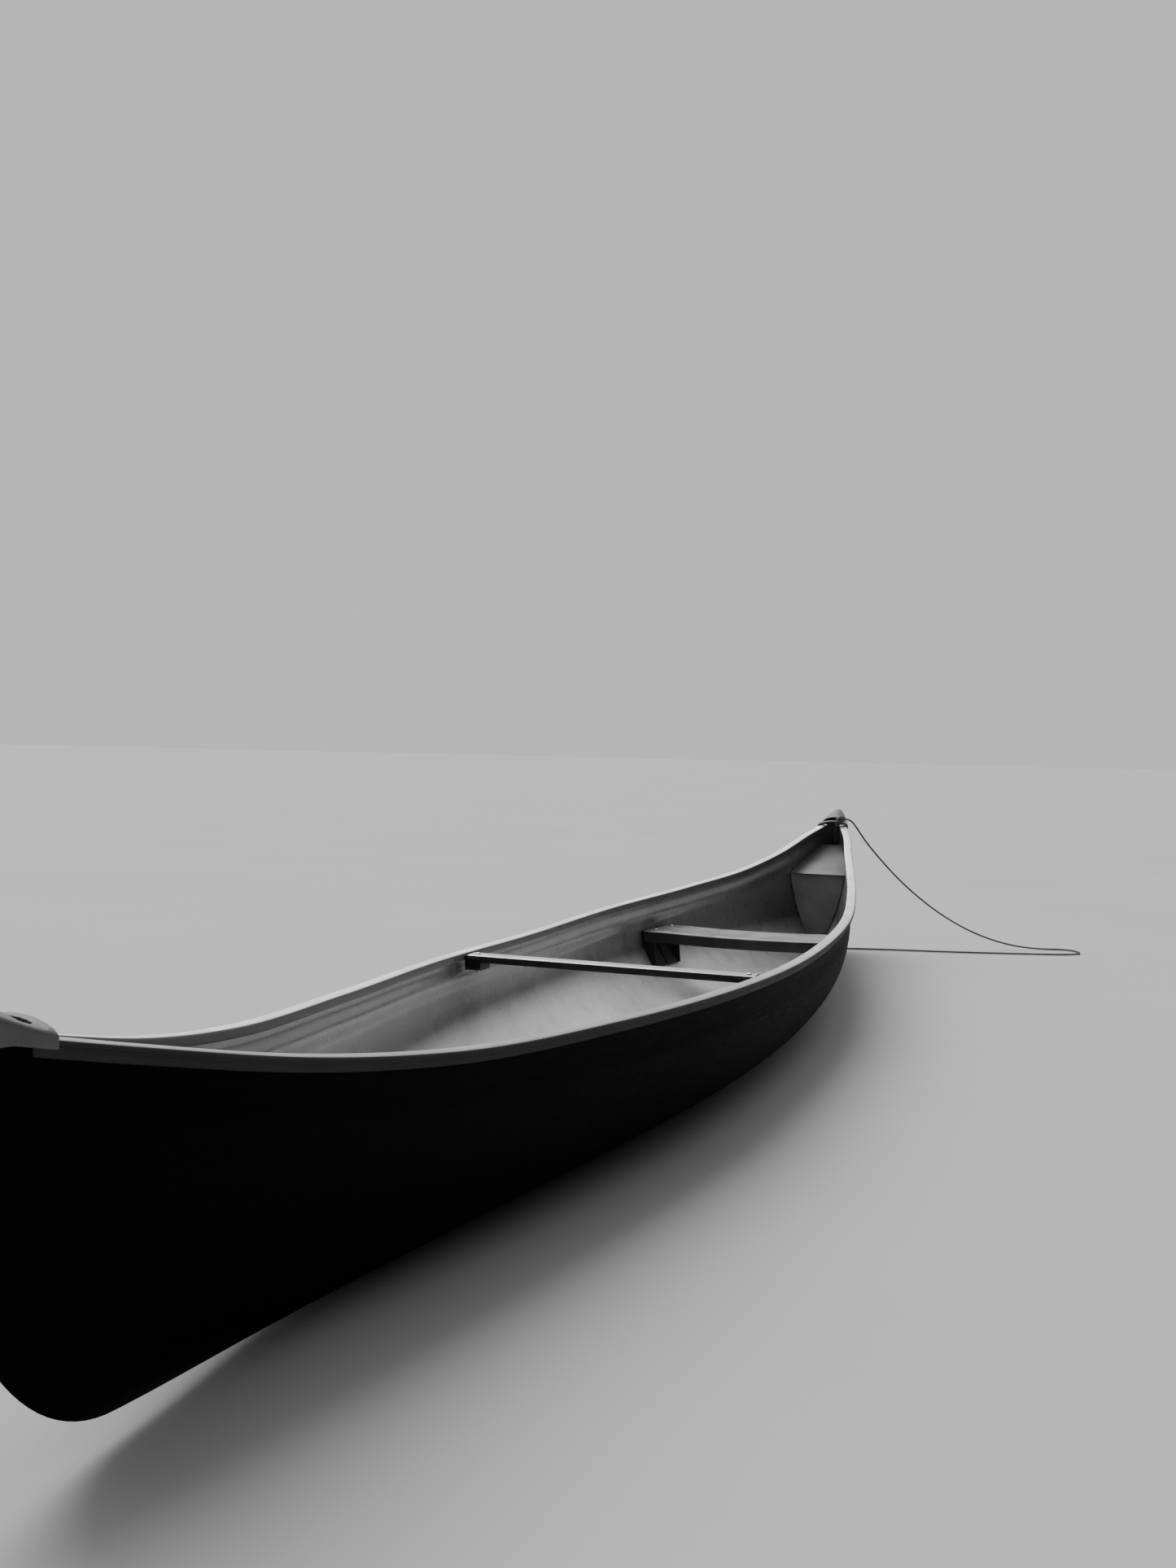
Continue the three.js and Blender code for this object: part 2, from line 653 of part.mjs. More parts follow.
// A hanger on the port side: a leaf down the hull, a shelf for the bench and an end web.
function seatBracket({ near, top }, step) {
  const shelf = top - SEAT_WALL - GAP;
  const heights = [0, 0.26, 0.52, 0.78].map(
    (part) => THREE.MathUtils.lerp(BRACKET_FOOT, shelf, part));
  const middle = near + SEAT_DEPTH / 2;
  const from = middle + Math.min(step * BRACKET_OUTER_END, step * BRACKET_INNER_END);
  const to = middle + Math.max(step * BRACKET_OUTER_END, step * BRACKET_INNER_END);
  const againstHull = (x, z) => insideHalfBreadth(x, z) - BRACKET_CLEARANCE;
  const outlines = [from, (from + to) / 2, to].map((x) => {
    const inner = againstHull(x, shelf) - BRACKET_LEAF;
    return [
      ...heights.map((z) => [againstHull(x, z), z]),
      [againstHull(x, shelf), shelf],
      [inner, shelf],
      [inner, shelf - BRACKET_WALL],
      [againstHull(x, shelf - BRACKET_WALL) - BRACKET_WALL, shelf - BRACKET_WALL],
      ...heights.toReversed().map((z) => [againstHull(x, z) - BRACKET_WALL, z]),
    ].map(([y, z]) => new THREE.Vector3(x, y, z));
  });
  const webStart = step < 0 ? from : to - BRACKET_WALL;
  const web = [webStart, webStart + BRACKET_WALL].map((x) => [
    ...heights.map((z) => [againstHull(x, z) - WEB_INSET, z]),
    [againstHull(x, shelf) - WEB_INSET, shelf - WEB_INSET],
    [againstHull(x, shelf) - BRACKET_LEAF + WEB_INSET, shelf - WEB_INSET],
    [againstHull(x, BRACKET_FOOT) - BRACKET_WALL - 2 * WEB_INSET, BRACKET_FOOT],
  ].map(([y, z]) => new THREE.Vector3(x, y, z)));
  const holes = seatBoltPlaces(near, top)
    .filter((bolt) => bolt.name === 'port')
    .map(({ point }) => boltHole(point));
  return cut(join([loft(outlines), loft(web)]), holes);
}

function mirrored(geometry) {
  const copy = geometry.index ? geometry.toNonIndexed() : geometry.clone();
  copy.scale(1, -1, 1);
  const positions = copy.getAttribute('position').array;
  for (let i = 0; i < positions.length; i += 9) {
    for (let k = 0; k < 3; k += 1) {
      [positions[i + 3 + k], positions[i + 6 + k]] = [positions[i + 6 + k], positions[i + 3 + k]];
    }
  }
  copy.computeVertexNormals();
  return copy;
}

const SEATS = { bow: BOW_SEAT, stern: STERN_SEAT };

for (const { name: end, turn } of ENDS) {
  const seat = SEATS[end];
  place(`${end}_seat`, bench(seat), 'seat', turn);
  for (const { name: localSide, sign } of SIDES) {
    // Turned end for end, the port side becomes starboard.
    const side = turn === 0 ? localSide : SIDES.find((other) => other.name !== localSide).name;
    for (const [hanger, step] of [['inner', -1], ['outer', 1]]) {
      const bracket = seatBracket(seat, step);
      place(`${end}_seat_bracket_${side}_${hanger}`, sign > 0 ? bracket : mirrored(bracket), 'bracket', turn);
      const { point } = seatBoltPlaces(seat.near, seat.top)
        .find((bolt) => bolt.name === localSide && bolt.step === step);
      const nut = point.z - SEAT_WALL - BRACKET_WALL - 2 * GAP;
      const bolt = boltThrough(point.x, point.y, point.z + GAP, nut);
      place(`${end}_seat_bolt_${side}_${hanger}`, bolt, 'bolt', turn);
    }
  }
}

// ---------------------------------------------------------------- thwart

const THWART_TOP = sheer(Math.abs(THWART_X + THWART_WIDTH / 2) / HULL_HALF) - THWART_DROP;
const THWART_MIDDLE = THWART_X + THWART_WIDTH / 2;

// Half breadth between the gunwales' inner faces at the thwart.
const THWART_ROOM = Math.min(...[THWART_X - 4, THWART_X + THWART_WIDTH + 4].map(
  (x) => halfBreadth(Math.abs(x) / HULL_HALF))) - WALL - INWALE - 2;
const THWART_REACH = THWART_ROOM - THWART_END_GAP;

function channel(width, height, wall, corner) {
  const half = width / 2;
  return [
    [-half, -height], [-half, -corner], [-half + corner * 0.3, -corner * 0.3], [-half + corner, 0],
    [half - corner, 0], [half - corner * 0.3, -corner * 0.3], [half, -corner], [half, -height],
    [half - wall, -height], [half - wall, -corner], [half - corner, -wall],
    [-half + corner, -wall], [-half + wall, -corner], [-half + wall, -height],
  ];
}

function alongBeam(section, from, to, top) {
  return loft([from, to].map((y) => section.map(
    ([x, z]) => new THREE.Vector3(THWART_MIDDLE + x, y, top + z))));
}

const THWART_BOLT_Y = THWART_REACH - SOCKET_LENGTH / 2;

function thwart() {
  const beam = alongBeam(channel(THWART_WIDTH, THWART_HEIGHT, THWART_WALL, THWART_CORNER),
    -THWART_REACH, THWART_REACH, THWART_TOP);
  return cut(beam, SIDES.map(({ sign }) => boltHole(
    new THREE.Vector3(THWART_MIDDLE, sign * THWART_BOLT_Y, THWART_TOP))));
}

// A saddle that the thwart's end sits on, with a cheek each side and a back plate.
function thwartSocket() {
  const cheek = THWART_WIDTH / 2 + GAP;
  const seat = THWART_TOP - THWART_WALL - GAP;
  const floor = THWART_TOP - THWART_HEIGHT - GAP;
  const foot = THWART_TOP - SOCKET_FOOT;
  const inner = THWART_WIDTH / 2 - THWART_WALL - 1;
  const outline = [
    [-cheek - SOCKET_WALL, foot + 6], [-cheek - SOCKET_WALL, THWART_TOP - 7],
    [-cheek, THWART_TOP - 7], [-cheek, floor], [-inner, floor], [-inner, seat - 6],
    [-inner + 6, seat], [inner - 6, seat], [inner, seat - 6], [inner, floor], [cheek, floor],
    [cheek, THWART_TOP - 7], [cheek + SOCKET_WALL, THWART_TOP - 7],
    [cheek + SOCKET_WALL, foot + 6], [cheek - 2, foot], [-cheek + 2, foot],
  ];
  const saddle = loft([THWART_REACH - SOCKET_LENGTH, THWART_REACH + 2].map((y) => outline.map(
    ([x, z]) => new THREE.Vector3(THWART_MIDDLE + x, y, z))));
  const backHeight = SOCKET_FOOT - 2;
  const back = box(2 * (cheek + SOCKET_WALL), 4, backHeight,
    new THREE.Vector3(THWART_MIDDLE, THWART_REACH + 3, foot + backHeight / 2));
  const hole = boltHole(new THREE.Vector3(THWART_MIDDLE, THWART_BOLT_Y, THWART_TOP));
  return cut(join([saddle, back]), [hole]);
}

place('thwart', thwart(), 'aluminium');
for (const { name, sign } of SIDES) {
  const socket = thwartSocket();
  const bolt = boltThrough(
    THWART_MIDDLE, THWART_BOLT_Y, THWART_TOP + GAP, THWART_TOP - SOCKET_FOOT - GAP);
  place(`thwart_socket_${name}`, sign > 0 ? socket : mirrored(socket), 'bracket');
  place(`thwart_bolt_${name}`, sign > 0 ? bolt : mirrored(bolt), 'bolt');
}

// ---------------------------------------------------------------- painter

const RING_RADIUS = 16.5;
const RING_Y = -19;
const RING_X = CAP_AFT + HANDLE_WIDTH / 2 - handleBow(RING_Y);
const RING_Z = capSheer(CAP_AFT + HANDLE_WIDTH / 2) + CAP_LIFT - HANDLE_DEPTH / 2
  + CAP_CROWN * (1 - (RING_Y / capHalfWidth(CAP_AFT)) ** 2);
const ROPE_TOP = RING_Z + RING_RADIUS;
const ROPE_FLOOR = ROPE_RADIUS + 0.5;

// From the handle over the cap's side, down in a free hang, round on the ground, under the
// stem and up to the coil.
const ROPE_ROUTE = [
  [RING_X, RING_Y - ROPE_RADIUS - GAP, ROPE_TOP],
  [2447, -44, ROPE_TOP],
  [2449, -60, ROPE_TOP - 3],
  [2452, -74, ROPE_TOP - 8],
  [2456, -86, ROPE_TOP - 18],
  [2481, -140, 468],
  [2511, -204, 387],
  [2545, -276, 306],
  [2583, -358, 228],
  [2625, -449, 156],
  [2672, -548, 94],
  [2718, -648, 49],
  [2764, -748, 20],
  [2803, -829, 8],
  [2830, -888, ROPE_FLOOR],
  [2845, -935, ROPE_FLOOR],
  [2838, -985, ROPE_FLOOR],
  [2800, -1020, ROPE_FLOOR],
  [2745, -1018, ROPE_FLOOR],
  [2698, -972, ROPE_FLOOR],
  [2650, -860, ROPE_FLOOR],
  [2590, -680, ROPE_FLOOR],
  [2530, -470, ROPE_FLOOR],
  [2480, -250, ROPE_FLOOR],
  [2410, -40, ROPE_FLOOR],
  [2310, 100, ROPE_FLOOR],
  [2190, 170, ROPE_FLOOR],
  [2100, 205, ROPE_FLOOR],
  [2045, 245, ROPE_FLOOR],
  [2022, 290, ROPE_FLOOR],
  [COIL_CENTRE.x + COIL_RADIUS + 3.5 * ROPE_RADIUS, COIL_CENTRE.y - 8, ROPE_FLOOR],
].map((point) => new THREE.Vector3(...point));

function ropeSection() {
  const shape = new THREE.Shape();
  shape.absarc(0, 0, ROPE_RADIUS, 0, 2 * Math.PI, false);
  return shape;
}

function ropeTube() {
  return new THREE.ExtrudeGeometry(ropeSection(), {
    steps: 80,
    curveSegments: 4,
    bevelEnabled: false,
    extrudePath: new THREE.CatmullRomCurve3(ROPE_ROUTE, false, 'centripetal'),
  });
}

// The hitch round the handle, as one closed ring.
function hitch() {
  const geometry = new THREE.TorusGeometry(RING_RADIUS, ROPE_RADIUS, 8, 20);
  geometry.rotateX(Math.PI / 2);
  geometry.translate(RING_X, RING_Y, RING_Z);
  return geometry;
}

// The outer shape of the coiled rope: two turns wide and two turns high.
function coil() {
  const inner = COIL_RADIUS - 2 * ROPE_RADIUS;
  const outer = COIL_RADIUS + 2 * ROPE_RADIUS;
  const height = 4 * ROPE_RADIUS;
  return turned([[inner, 2], [inner + 2, 0.5], [outer - 2, 0.5], [outer, 2], [outer, height - 2],
    [outer - 2, height], [inner + 2, height], [inner, height - 2], [inner, 2]], COIL_CENTRE, 24);
}

function endKnot() {
  const radius = 7;
  const height = 15;
  const middle = new THREE.Vector3(
    COIL_CENTRE.x - COIL_RADIUS - 2 * ROPE_RADIUS - GAP - radius, COIL_CENTRE.y, 0);
  return turned([[0, 0.5], [radius - 2, 0.5], [radius, 4], [radius, height - 4],
    [radius - 2, height], [0, height]], middle, 12);
}

place('painter_hitch', hitch(), 'rope');
place('painter_rope', ropeTube(), 'rope');
place('painter_coil', coil(), 'rope');
place('painter_end_knot', endKnot(), 'rope');

export default canoe;
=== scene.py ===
import math

import bmesh
import bpy
from mathutils import Matrix, Vector


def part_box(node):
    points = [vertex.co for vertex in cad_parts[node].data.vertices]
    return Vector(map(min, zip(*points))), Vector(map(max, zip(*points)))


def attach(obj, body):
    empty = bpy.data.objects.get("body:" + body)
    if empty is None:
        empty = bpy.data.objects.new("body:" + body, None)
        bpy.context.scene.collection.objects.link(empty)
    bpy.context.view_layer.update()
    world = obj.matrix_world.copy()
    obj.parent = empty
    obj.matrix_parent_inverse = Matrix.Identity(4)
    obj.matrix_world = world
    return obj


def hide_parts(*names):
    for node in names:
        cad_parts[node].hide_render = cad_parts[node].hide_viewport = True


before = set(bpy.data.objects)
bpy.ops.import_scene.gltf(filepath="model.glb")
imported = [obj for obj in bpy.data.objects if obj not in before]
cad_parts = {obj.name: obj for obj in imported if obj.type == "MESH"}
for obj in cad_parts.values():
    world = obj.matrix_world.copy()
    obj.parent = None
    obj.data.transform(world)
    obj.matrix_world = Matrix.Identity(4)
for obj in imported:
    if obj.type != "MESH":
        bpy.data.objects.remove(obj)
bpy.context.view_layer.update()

MM = 0.001

# ---------------------------------------------------------------- camera

FOCAL_PIXELS = 1737.0
LONG_SIDE_PIXELS = 1927
SENSOR = 36.0
PRINCIPAL_DROP = 25.5
EYE = Vector((-3.686, -1.1396, 0.8665))
YAW = 0.3557
PITCH = 0.0424
ROLL = 0.0186


def make_camera():
    """The camera stands behind the stern on the starboard side and looks along the canoe."""
    data = bpy.data.cameras.new("view_camera")
    data.sensor_width = SENSOR
    data.lens = FOCAL_PIXELS * SENSOR / LONG_SIDE_PIXELS
    data.shift_y = PRINCIPAL_DROP / LONG_SIDE_PIXELS
    data.clip_start = 0.05
    data.clip_end = 200
    camera = bpy.data.objects.new("view_camera", data)
    bpy.context.scene.collection.objects.link(camera)
    ahead = Vector((
        math.cos(PITCH) * math.cos(YAW),
        math.cos(PITCH) * math.sin(YAW),
        -math.sin(PITCH),
    ))
    level = Vector((math.sin(YAW), -math.cos(YAW), 0))
    above = level.cross(ahead)
    right = math.cos(ROLL) * level + math.sin(ROLL) * above
    up = math.cos(ROLL) * above - math.sin(ROLL) * level
    turn = Matrix((right, up, -ahead)).transposed()
    camera.matrix_world = Matrix.Translation(EYE) @ turn.to_4x4()
    bpy.context.scene.camera = camera


# ---------------------------------------------------------------- mesh helpers


def new_object(name, points, faces, smooth=True):
    mesh = bpy.data.meshes.new(name)
    mesh.from_pydata([tuple(point) for point in points], [], faces)
    for polygon in mesh.polygons:
        polygon.use_smooth = smooth
    mesh.update()
    piece = bpy.data.objects.new(name, mesh)
    bpy.context.scene.collection.objects.link(piece)
    return piece


def face_outward(piece):
    shape = bmesh.new()
    shape.from_mesh(piece.data)
    bmesh.ops.recalc_face_normals(shape, faces=shape.faces)
    shape.to_mesh(piece.data)
    shape.free()


def weld(piece, distance):
    shape = bmesh.new()
    shape.from_mesh(piece.data)
    bmesh.ops.remove_doubles(shape, verts=shape.verts, dist=distance)
    bmesh.ops.recalc_face_normals(shape, faces=shape.faces)
    shape.to_mesh(piece.data)
    shape.free()


def loft(name, rings, ends=True):
    """A skin through rings of points, with a map of length along and length around."""
    count = len(rings[0])
    points = [point for ring in rings for point in ring]
    faces = []
    for i in range(len(rings) - 1):
        for k in range(count):
            n = (k + 1) % count
            faces.append((i * count + k, i * count + n, (i + 1) * count + n, (i + 1) * count + k))
    if ends:
        faces.append(tuple(reversed(range(count))))
        faces.append(tuple((len(rings) - 1) * count + k for k in range(count)))
    piece = new_object(name, points, faces)
    add_lengths_map(piece, rings, len(faces) - (2 if ends else 0))
    face_outward(piece)
    return piece


def add_lengths_map(piece, rings, skin_faces):
    count = len(rings[0])
    along = [0.0]
    for before, after in zip(rings, rings[1:]):
        along.append(along[-1] + (Vector(after[0]) - Vector(before[0])).length)
    around = [0.0]
    for k in range(count):
        step = Vector(rings[0][(k + 1) % count]) - Vector(rings[0][k])
        around.append(around[-1] + step.length)
    layer = piece.data.uv_layers.new(name="lengths")
    for index, polygon in enumerate(piece.data.polygons):
        if index >= skin_faces:
            continue
        i, k = divmod(index, count)
        corners = [(i, k), (i, k + 1), (i + 1, k + 1), (i + 1, k)]
        for loop, (ring, step) in zip(polygon.loop_indices, corners):
            layer.data[loop].uv = (along[ring], around[step])


def add_bevel(piece, width, segments=2, angle=35):
    bevel = piece.modifiers.new("bevel", "BEVEL")
    bevel.width = width
    bevel.segments = segments
    bevel.limit_method = "ANGLE"
    bevel.angle_limit = math.radians(angle)
    bevel.harden_normals = True


def finish_piece(piece, looks, replaced=()):
    for index, look in enumerate(looks):
        if index < len(piece.data.materials):
            piece.data.materials[index] = look
        else:
            piece.data.materials.append(look)
    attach(piece, "root")
    if replaced:
        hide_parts(*replaced)
    return piece


def softened(node, name, width, angle=35):
    """A copy of a CAD piece with its flat faces made whole and its sharp edges rounded."""
    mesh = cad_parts[node].data.copy()
    mesh.name = name
    piece = bpy.data.objects.new(name, mesh)
    bpy.context.scene.collection.objects.link(piece)
    shape = bmesh.new()
    shape.from_mesh(mesh)
    bmesh.ops.remove_doubles(shape, verts=shape.verts, dist=1e-5)
    bmesh.ops.dissolve_limit(
        shape, angle_limit=math.radians(0.6), verts=shape.verts, edges=shape.edges)
    for face in shape.faces:
        face.smooth = True
    bmesh.ops.recalc_face_normals(shape, faces=shape.faces)
    shape.to_mesh(mesh)
    shape.free()
    add_bevel(piece, width, 3, angle)
    return piece


# ---------------------------------------------------------------- hull lines

HALF_LENGTH = 2590 * MM
HULL_HALF = 2576 * MM
OFFSET_STATIONS = [0, 0.24, 0.48, 0.68, 0.80, 0.90, 1]
HALF_BREADTHS = [407, 385, 298, 203, 139, 85, 0]
SHEER_HEIGHTS = [330, 342, 363, 398, 446, 504, 568]
ROCKER = 28 * MM
ROCKER_START = 0.35
FLAT_FLOOR = 0.012
STEM_RAKE = 320 * MM
WALL = 5 * MM
STEM_SOLID = 60 * MM
KEEL_SOLID = 24 * MM
RIM_DROP = 7 * MM
SIDE_WALL = 40 * MM
MIDSHIP_FULLNESS = 2.75
END_FULLNESS = 1.3
FULLNESS_FADE = 1.3
STEM_CURVE = 2.2
RAKE_ONSET = 6
STRETCH_FADE = 12
SOLID_ONSET = 4
INSIDE_CLOSES = 0.98
STEM_ROUND = 7 * MM


def fair_curve(stations, values):
    """A smooth curve through a table of values, level at its first entry."""
    last = len(stations) - 1
    rises = [(values[i + 1] - values[i]) / (stations[i + 1] - stations[i]) for i in range(last)]
    slopes = [0.0]
    for i in range(1, last):
        before = stations[i] - stations[i - 1]
        after = stations[i + 1] - stations[i]
        slopes.append((rises[i - 1] * after + rises[i] * before) / (before + after))
    slopes.append(2 * rises[-1] - slopes[-1])

    def at(u):
        i = 0
        while i < last - 1 and u > stations[i + 1]:
            i += 1
        width = stations[i + 1] - stations[i]
        t = min(1.0, max(0.0, (u - stations[i]) / width))
        back = 1 - t
        return (values[i] * (1 + 2 * t) * back * back + width * slopes[i] * t * back * back
                + values[i + 1] * t * t * (3 - 2 * t) - width * slopes[i + 1] * t * t * back)

    return at


half_breadth = fair_curve(OFFSET_STATIONS, [value * MM for value in HALF_BREADTHS])
sheer = fair_curve(OFFSET_STATIONS, [value * MM for value in SHEER_HEIGHTS])


def keel_height(u):
    return ROCKER * max(0.0, (u - ROCKER_START) / (1 - ROCKER_START)) ** 2


def fullness(u):
    return MIDSHIP_FULLNESS - (MIDSHIP_FULLNESS - END_FULLNESS) * u ** FULLNESS_FADE


def flat_floor(u):
    return FLAT_FLOOR * (1 - u * u)


def stem_reach(rise):
    return math.sqrt(max(0.0, 1 - (1 - rise) ** STEM_CURVE))


class Outside:
    """The hull's outer surface, with its stem rounded."""

    half = HULL_HALF
    apex_angle = math.atan2(half_breadth(0.985), 0.015 * HULL_HALF)
    centre = STEM_ROUND / math.sin(apex_angle)
    tangent = centre * math.cos(apex_angle) ** 2
    closes = 1 - (centre - STEM_ROUND) / HULL_HALF

    @classmethod
    def fraction(cls, station):
        return abs(station) * cls.closes

    @classmethod
    def breadth(cls, u):
        behind = (1 - u) * HULL_HALF
        if behind > cls.tangent:
            return half_breadth(u)
        round_nose = math.sqrt(max(0.0, STEM_ROUND ** 2 - (cls.centre - behind) ** 2))
        return min(half_breadth(u), round_nose)

    @staticmethod
    def keel(u):
        return keel_height(u)


class Inside:
    """The hull's inner surface, which closes short of the stem."""

    half = HULL_HALF - STEM_SOLID

    @classmethod
    def fraction(cls, station):
        stretch = HULL_HALF / cls.half - 1
        return abs(station) * (1 + stretch * (1 - abs(station) ** STRETCH_FADE))

    @classmethod
    def breadth(cls, u):
        past = min(1.0, max(0.0, u - INSIDE_CLOSES) / (1 - INSIDE_CLOSES))
        return (half_breadth(u * cls.half / HULL_HALF) - WALL) * math.sqrt(1 - past ** 2)

    @staticmethod
    def keel(u):
        return keel_height(u) + WALL + KEEL_SOLID * u ** SOLID_ONSET


# ---------------------------------------------------------------- hull

HULL_STATIONS = 84
ANGLE_ROWS = 30
RIDGE_TOP = 31 * MM
RIDGE_CREST = 62 * MM
RIDGE_FOOT = 98 * MM
RIDGE_OUT = 9 * MM
RIDGE_FADE = (0.90, 0.955)
RIDGE_ROOM = 50 * MM
SIDE_DROPS = [d * MM for d in (60, 56, 52, 48, 44, 40, 36, 32, 28, 24, 20, 17, 14, 11, 8, 5, 2)]
STRIP_RISES = [d * MM for d in (1, 4, 7, 10, 13, 16, 20, 25, 30, 35, 40)]


def smooth_step(t):
    t = min(1.0, max(0.0, t))
    return t * t * (3 - 2 * t)


def ridge(down, u):
    """How far the moulded ridge stands inboard at a distance below the sheer."""
    if down < RIDGE_CREST:
        swell = smooth_step((down - RIDGE_TOP) / (RIDGE_CREST - RIDGE_TOP))
    else:
        swell = smooth_step((RIDGE_FOOT - down) / (RIDGE_FOOT - RIDGE_CREST))
    return RIDGE_OUT * swell * (1 - smooth_step((u - RIDGE_FADE[0]) / (RIDGE_FADE[1] - RIDGE_FADE[0])))


def section(surface, u):
    """Points of one side of a cross section, from the keel up to the rim."""
    height = sheer(u * surface.half / HULL_HALF)
    side_top = height - RIM_DROP - SIDE_WALL
    keel = surface.keel(u)
    depth = side_top - keel
    power = fullness(u)
    flat = flat_floor(u)
    breadth = surface.breadth(u)
    first_drop = SIDE_DROPS[0] * (1 - flat) / depth
    top_angle = math.acos(min(1.0, first_drop) ** (power / 2))
    rows = []
    for k in range(ANGLE_ROWS):
        angle = top_angle * k / ANGLE_ROWS
        rise = max(0.0, 1 - math.cos(angle) ** (2 / power) - flat) / (1 - flat)
        rows.append((math.sin(angle) ** (2 / power), rise, 0.0))
    for drop in SIDE_DROPS:
        short = min(1.0, drop * (1 - flat) / depth)
        rows.append(((1 - short ** power) ** (1 / power), 1 - drop / depth, 0.0))
    for over in STRIP_RISES:
        rows.append((1.0, 1.0, over))
    points = []
    for side, rise, over in rows:
        z = keel + depth * rise + over
        x = surface.half * u - STEM_RAKE * (1 - stem_reach(min(1.0, max(0.0, rise)))) * u ** RAKE_ONSET
        y = max(0.0, breadth * side - ridge(height - z, u) * min(1.0, breadth / RIDGE_ROOM))
        points.append((x, y, z))
    return points


def make_hull():
    stations = []
    for i in range(-HULL_STATIONS, HULL_STATIONS + 1):
        stations.append(math.sin(i / HULL_STATIONS * math.pi / 2))
    points = []
    faces = []
    skins = []
    rows = ANGLE_ROWS + len(SIDE_DROPS) + len(STRIP_RISES)
    for side in (1, -1):
        starts = {}
        for surface in (Outside, Inside):
            for i, station in enumerate(stations):
                starts[surface, i] = len(points)
                for x, y, z in section(surface, surface.fraction(station)):
                    points.append((math.copysign(x, station) if station else 0.0, side * y, z))
        for i in range(len(stations) - 1):
            for surface in (Outside, Inside):
                a, b = starts[surface, i], starts[surface, i + 1]
                for row in range(rows - 1):
                    faces.append((a + row, b + row, b + row + 1, a + row + 1))
                    skins.append(0 if surface is Outside else 1)
            rim = [starts[s, k] + rows - 1 for s, k in (
                (Outside, i), (Outside, i + 1), (Inside, i + 1), (Inside, i))]
            faces.append(tuple(rim))
            skins.append(1)
    hull = new_object("hull", points, faces)
    for polygon, skin in zip(hull.data.polygons, skins):
        polygon.material_index = skin
    weld(hull, 0.00002)
    return finish_piece(hull, [LOOKS["hull_outside"], LOOKS["hull_inside"]], ["hull_shell"])


# ---------------------------------------------------------------- gunwales

GUNWALE_END = 0.955
GUNWALE_STATIONS = 150
GAP = 0.4

# Millimetres outboard of the hull's outer face, and up from the sheer line.
GUNWALE_TOP = [
    (12.0, -1.9), (10.3, -0.9), (8.0, -0.25),
    (3.0, 0.0), (-9.0, 0.0), (-13.0, -0.2), (-15.2, -0.8), (-16.7, -1.9),
]
GUNWALE_INNER = [
    (-17.6, -3.5), (-18.0, -5.5), (-17.9, -9.0), (-17.4, -13.0), (-17.0, -17.0), (-16.6, -18.8),
    (-15.6, -19.8), (-14.0, -20.0), (-7.0, -20.0), (-5.8, -19.6), (-5.8, -6.3), (0.4, -6.3),
]
GUNWALE_OUTER = [
    (0.4, -23.6), (1.2, -24.0), (4.6, -24.0), (6.2, -23.4), (7.0, -22.0), (7.6, -20.0),
    (10.6, -14.0), (11.2, -12.8), (12.4, -12.0), (13.4, -11.2), (13.8, -10.2), (13.5, -9.3),
    (12.9, -8.7), (13.0, -8.0), (13.7, -7.2), (13.8, -5.2), (13.1, -3.4),
]


def sheer_frame(station, side):
    """A point of the sheer line and the level direction that points outboard there."""
    u = abs(station)
    step = 0.002
    ahead = half_breadth(min(1, u + step))
    behind = half_breadth(max(0, u - step))
    taper = 0 if u < step else (ahead - behind) / (2 * step * HULL_HALF)
    outboard = Vector((-taper * math.copysign(1, station), 1, 0)).normalized()
    outboard.y *= side
    return Vector((HULL_HALF * station, side * half_breadth(u), sheer(u))), outboard


def gunwale(side, name):
    outline = GUNWALE_TOP + GUNWALE_INNER + GUNWALE_OUTER
    rings = []
    for i in range(-GUNWALE_STATIONS, GUNWALE_STATIONS + 1):
        station = GUNWALE_END * math.sin(i / GUNWALE_STATIONS * math.pi / 2)
        point, outboard = sheer_frame(station, side)
        rings.append([point + outboard * out * MM + Vector((0, 0, up * MM)) for out, up in outline])
    piece = loft(f"gunwale_rail_{name}", rings)
    top = len(GUNWALE_TOP) - 1
    inner = top + len(GUNWALE_INNER)
    for index, polygon in enumerate(piece.data.polygons):
        step = index % len(outline)
        polygon.material_index = 0 if step < top else 1 if step < inner else 2
    # Only the top is lit aluminium; the inner and outer faces get dark looks that are painted shade.
    looks = [LOOKS[f"aluminium_{name}"], LOOKS["rail_inner"], LOOKS["rail_side"]]
    add_bevel(piece, 0.25 * MM, 1, 50)
    return finish_piece(piece, looks, [f"gunwale_{name}"])


# ---------------------------------------------------------------- end caps

CAP_AFT = 2445 * MM
CAP_WALL = 4 * MM
CAP_OVERHANG = 20 * MM
CAP_CROWN = 15 * MM
CAP_NOSE_RISE = 16 * MM
NOSE_RISE_END = 0.75
CAP_LIFT = 5 * MM
CAP_SKIRT = 14 * MM
NOSE_SKIRT = 44 * MM
NOSE_RADIUS = 26 * MM
NOSE_CENTRE = HALF_LENGTH - NOSE_RADIUS
HANDLE_BOW = 10 * MM
HANDLE_WIDTH = 20 * MM
HANDLE_DEPTH = 11 * MM
SLOT_WIDTH = 30 * MM
SLOT_LENGTH = 92 * MM
SLOT_X = CAP_AFT + HANDLE_WIDTH + SLOT_WIDTH / 2 - HANDLE_BOW + 1 * MM
CAP_EDGE = 3 * MM
CAP_STEPS = 48
CAP_CLOSING = 1.6
CAP_VOXEL = 1.7 * MM
BAR_SPANS = 32
BAR_SIDES = 20
SLOT_ARC = 16
SLOT_CUT = 120 * MM


def cap_half_width(x):
    over_hull = half_breadth(min(1, x / HULL_HALF)) + CAP_OVERHANG
    if x <= NOSE_CENTRE:
        return over_hull
    return min(over_hull, math.sqrt(max(0.0, NOSE_RADIUS ** 2 - (x - NOSE_CENTRE) ** 2)))


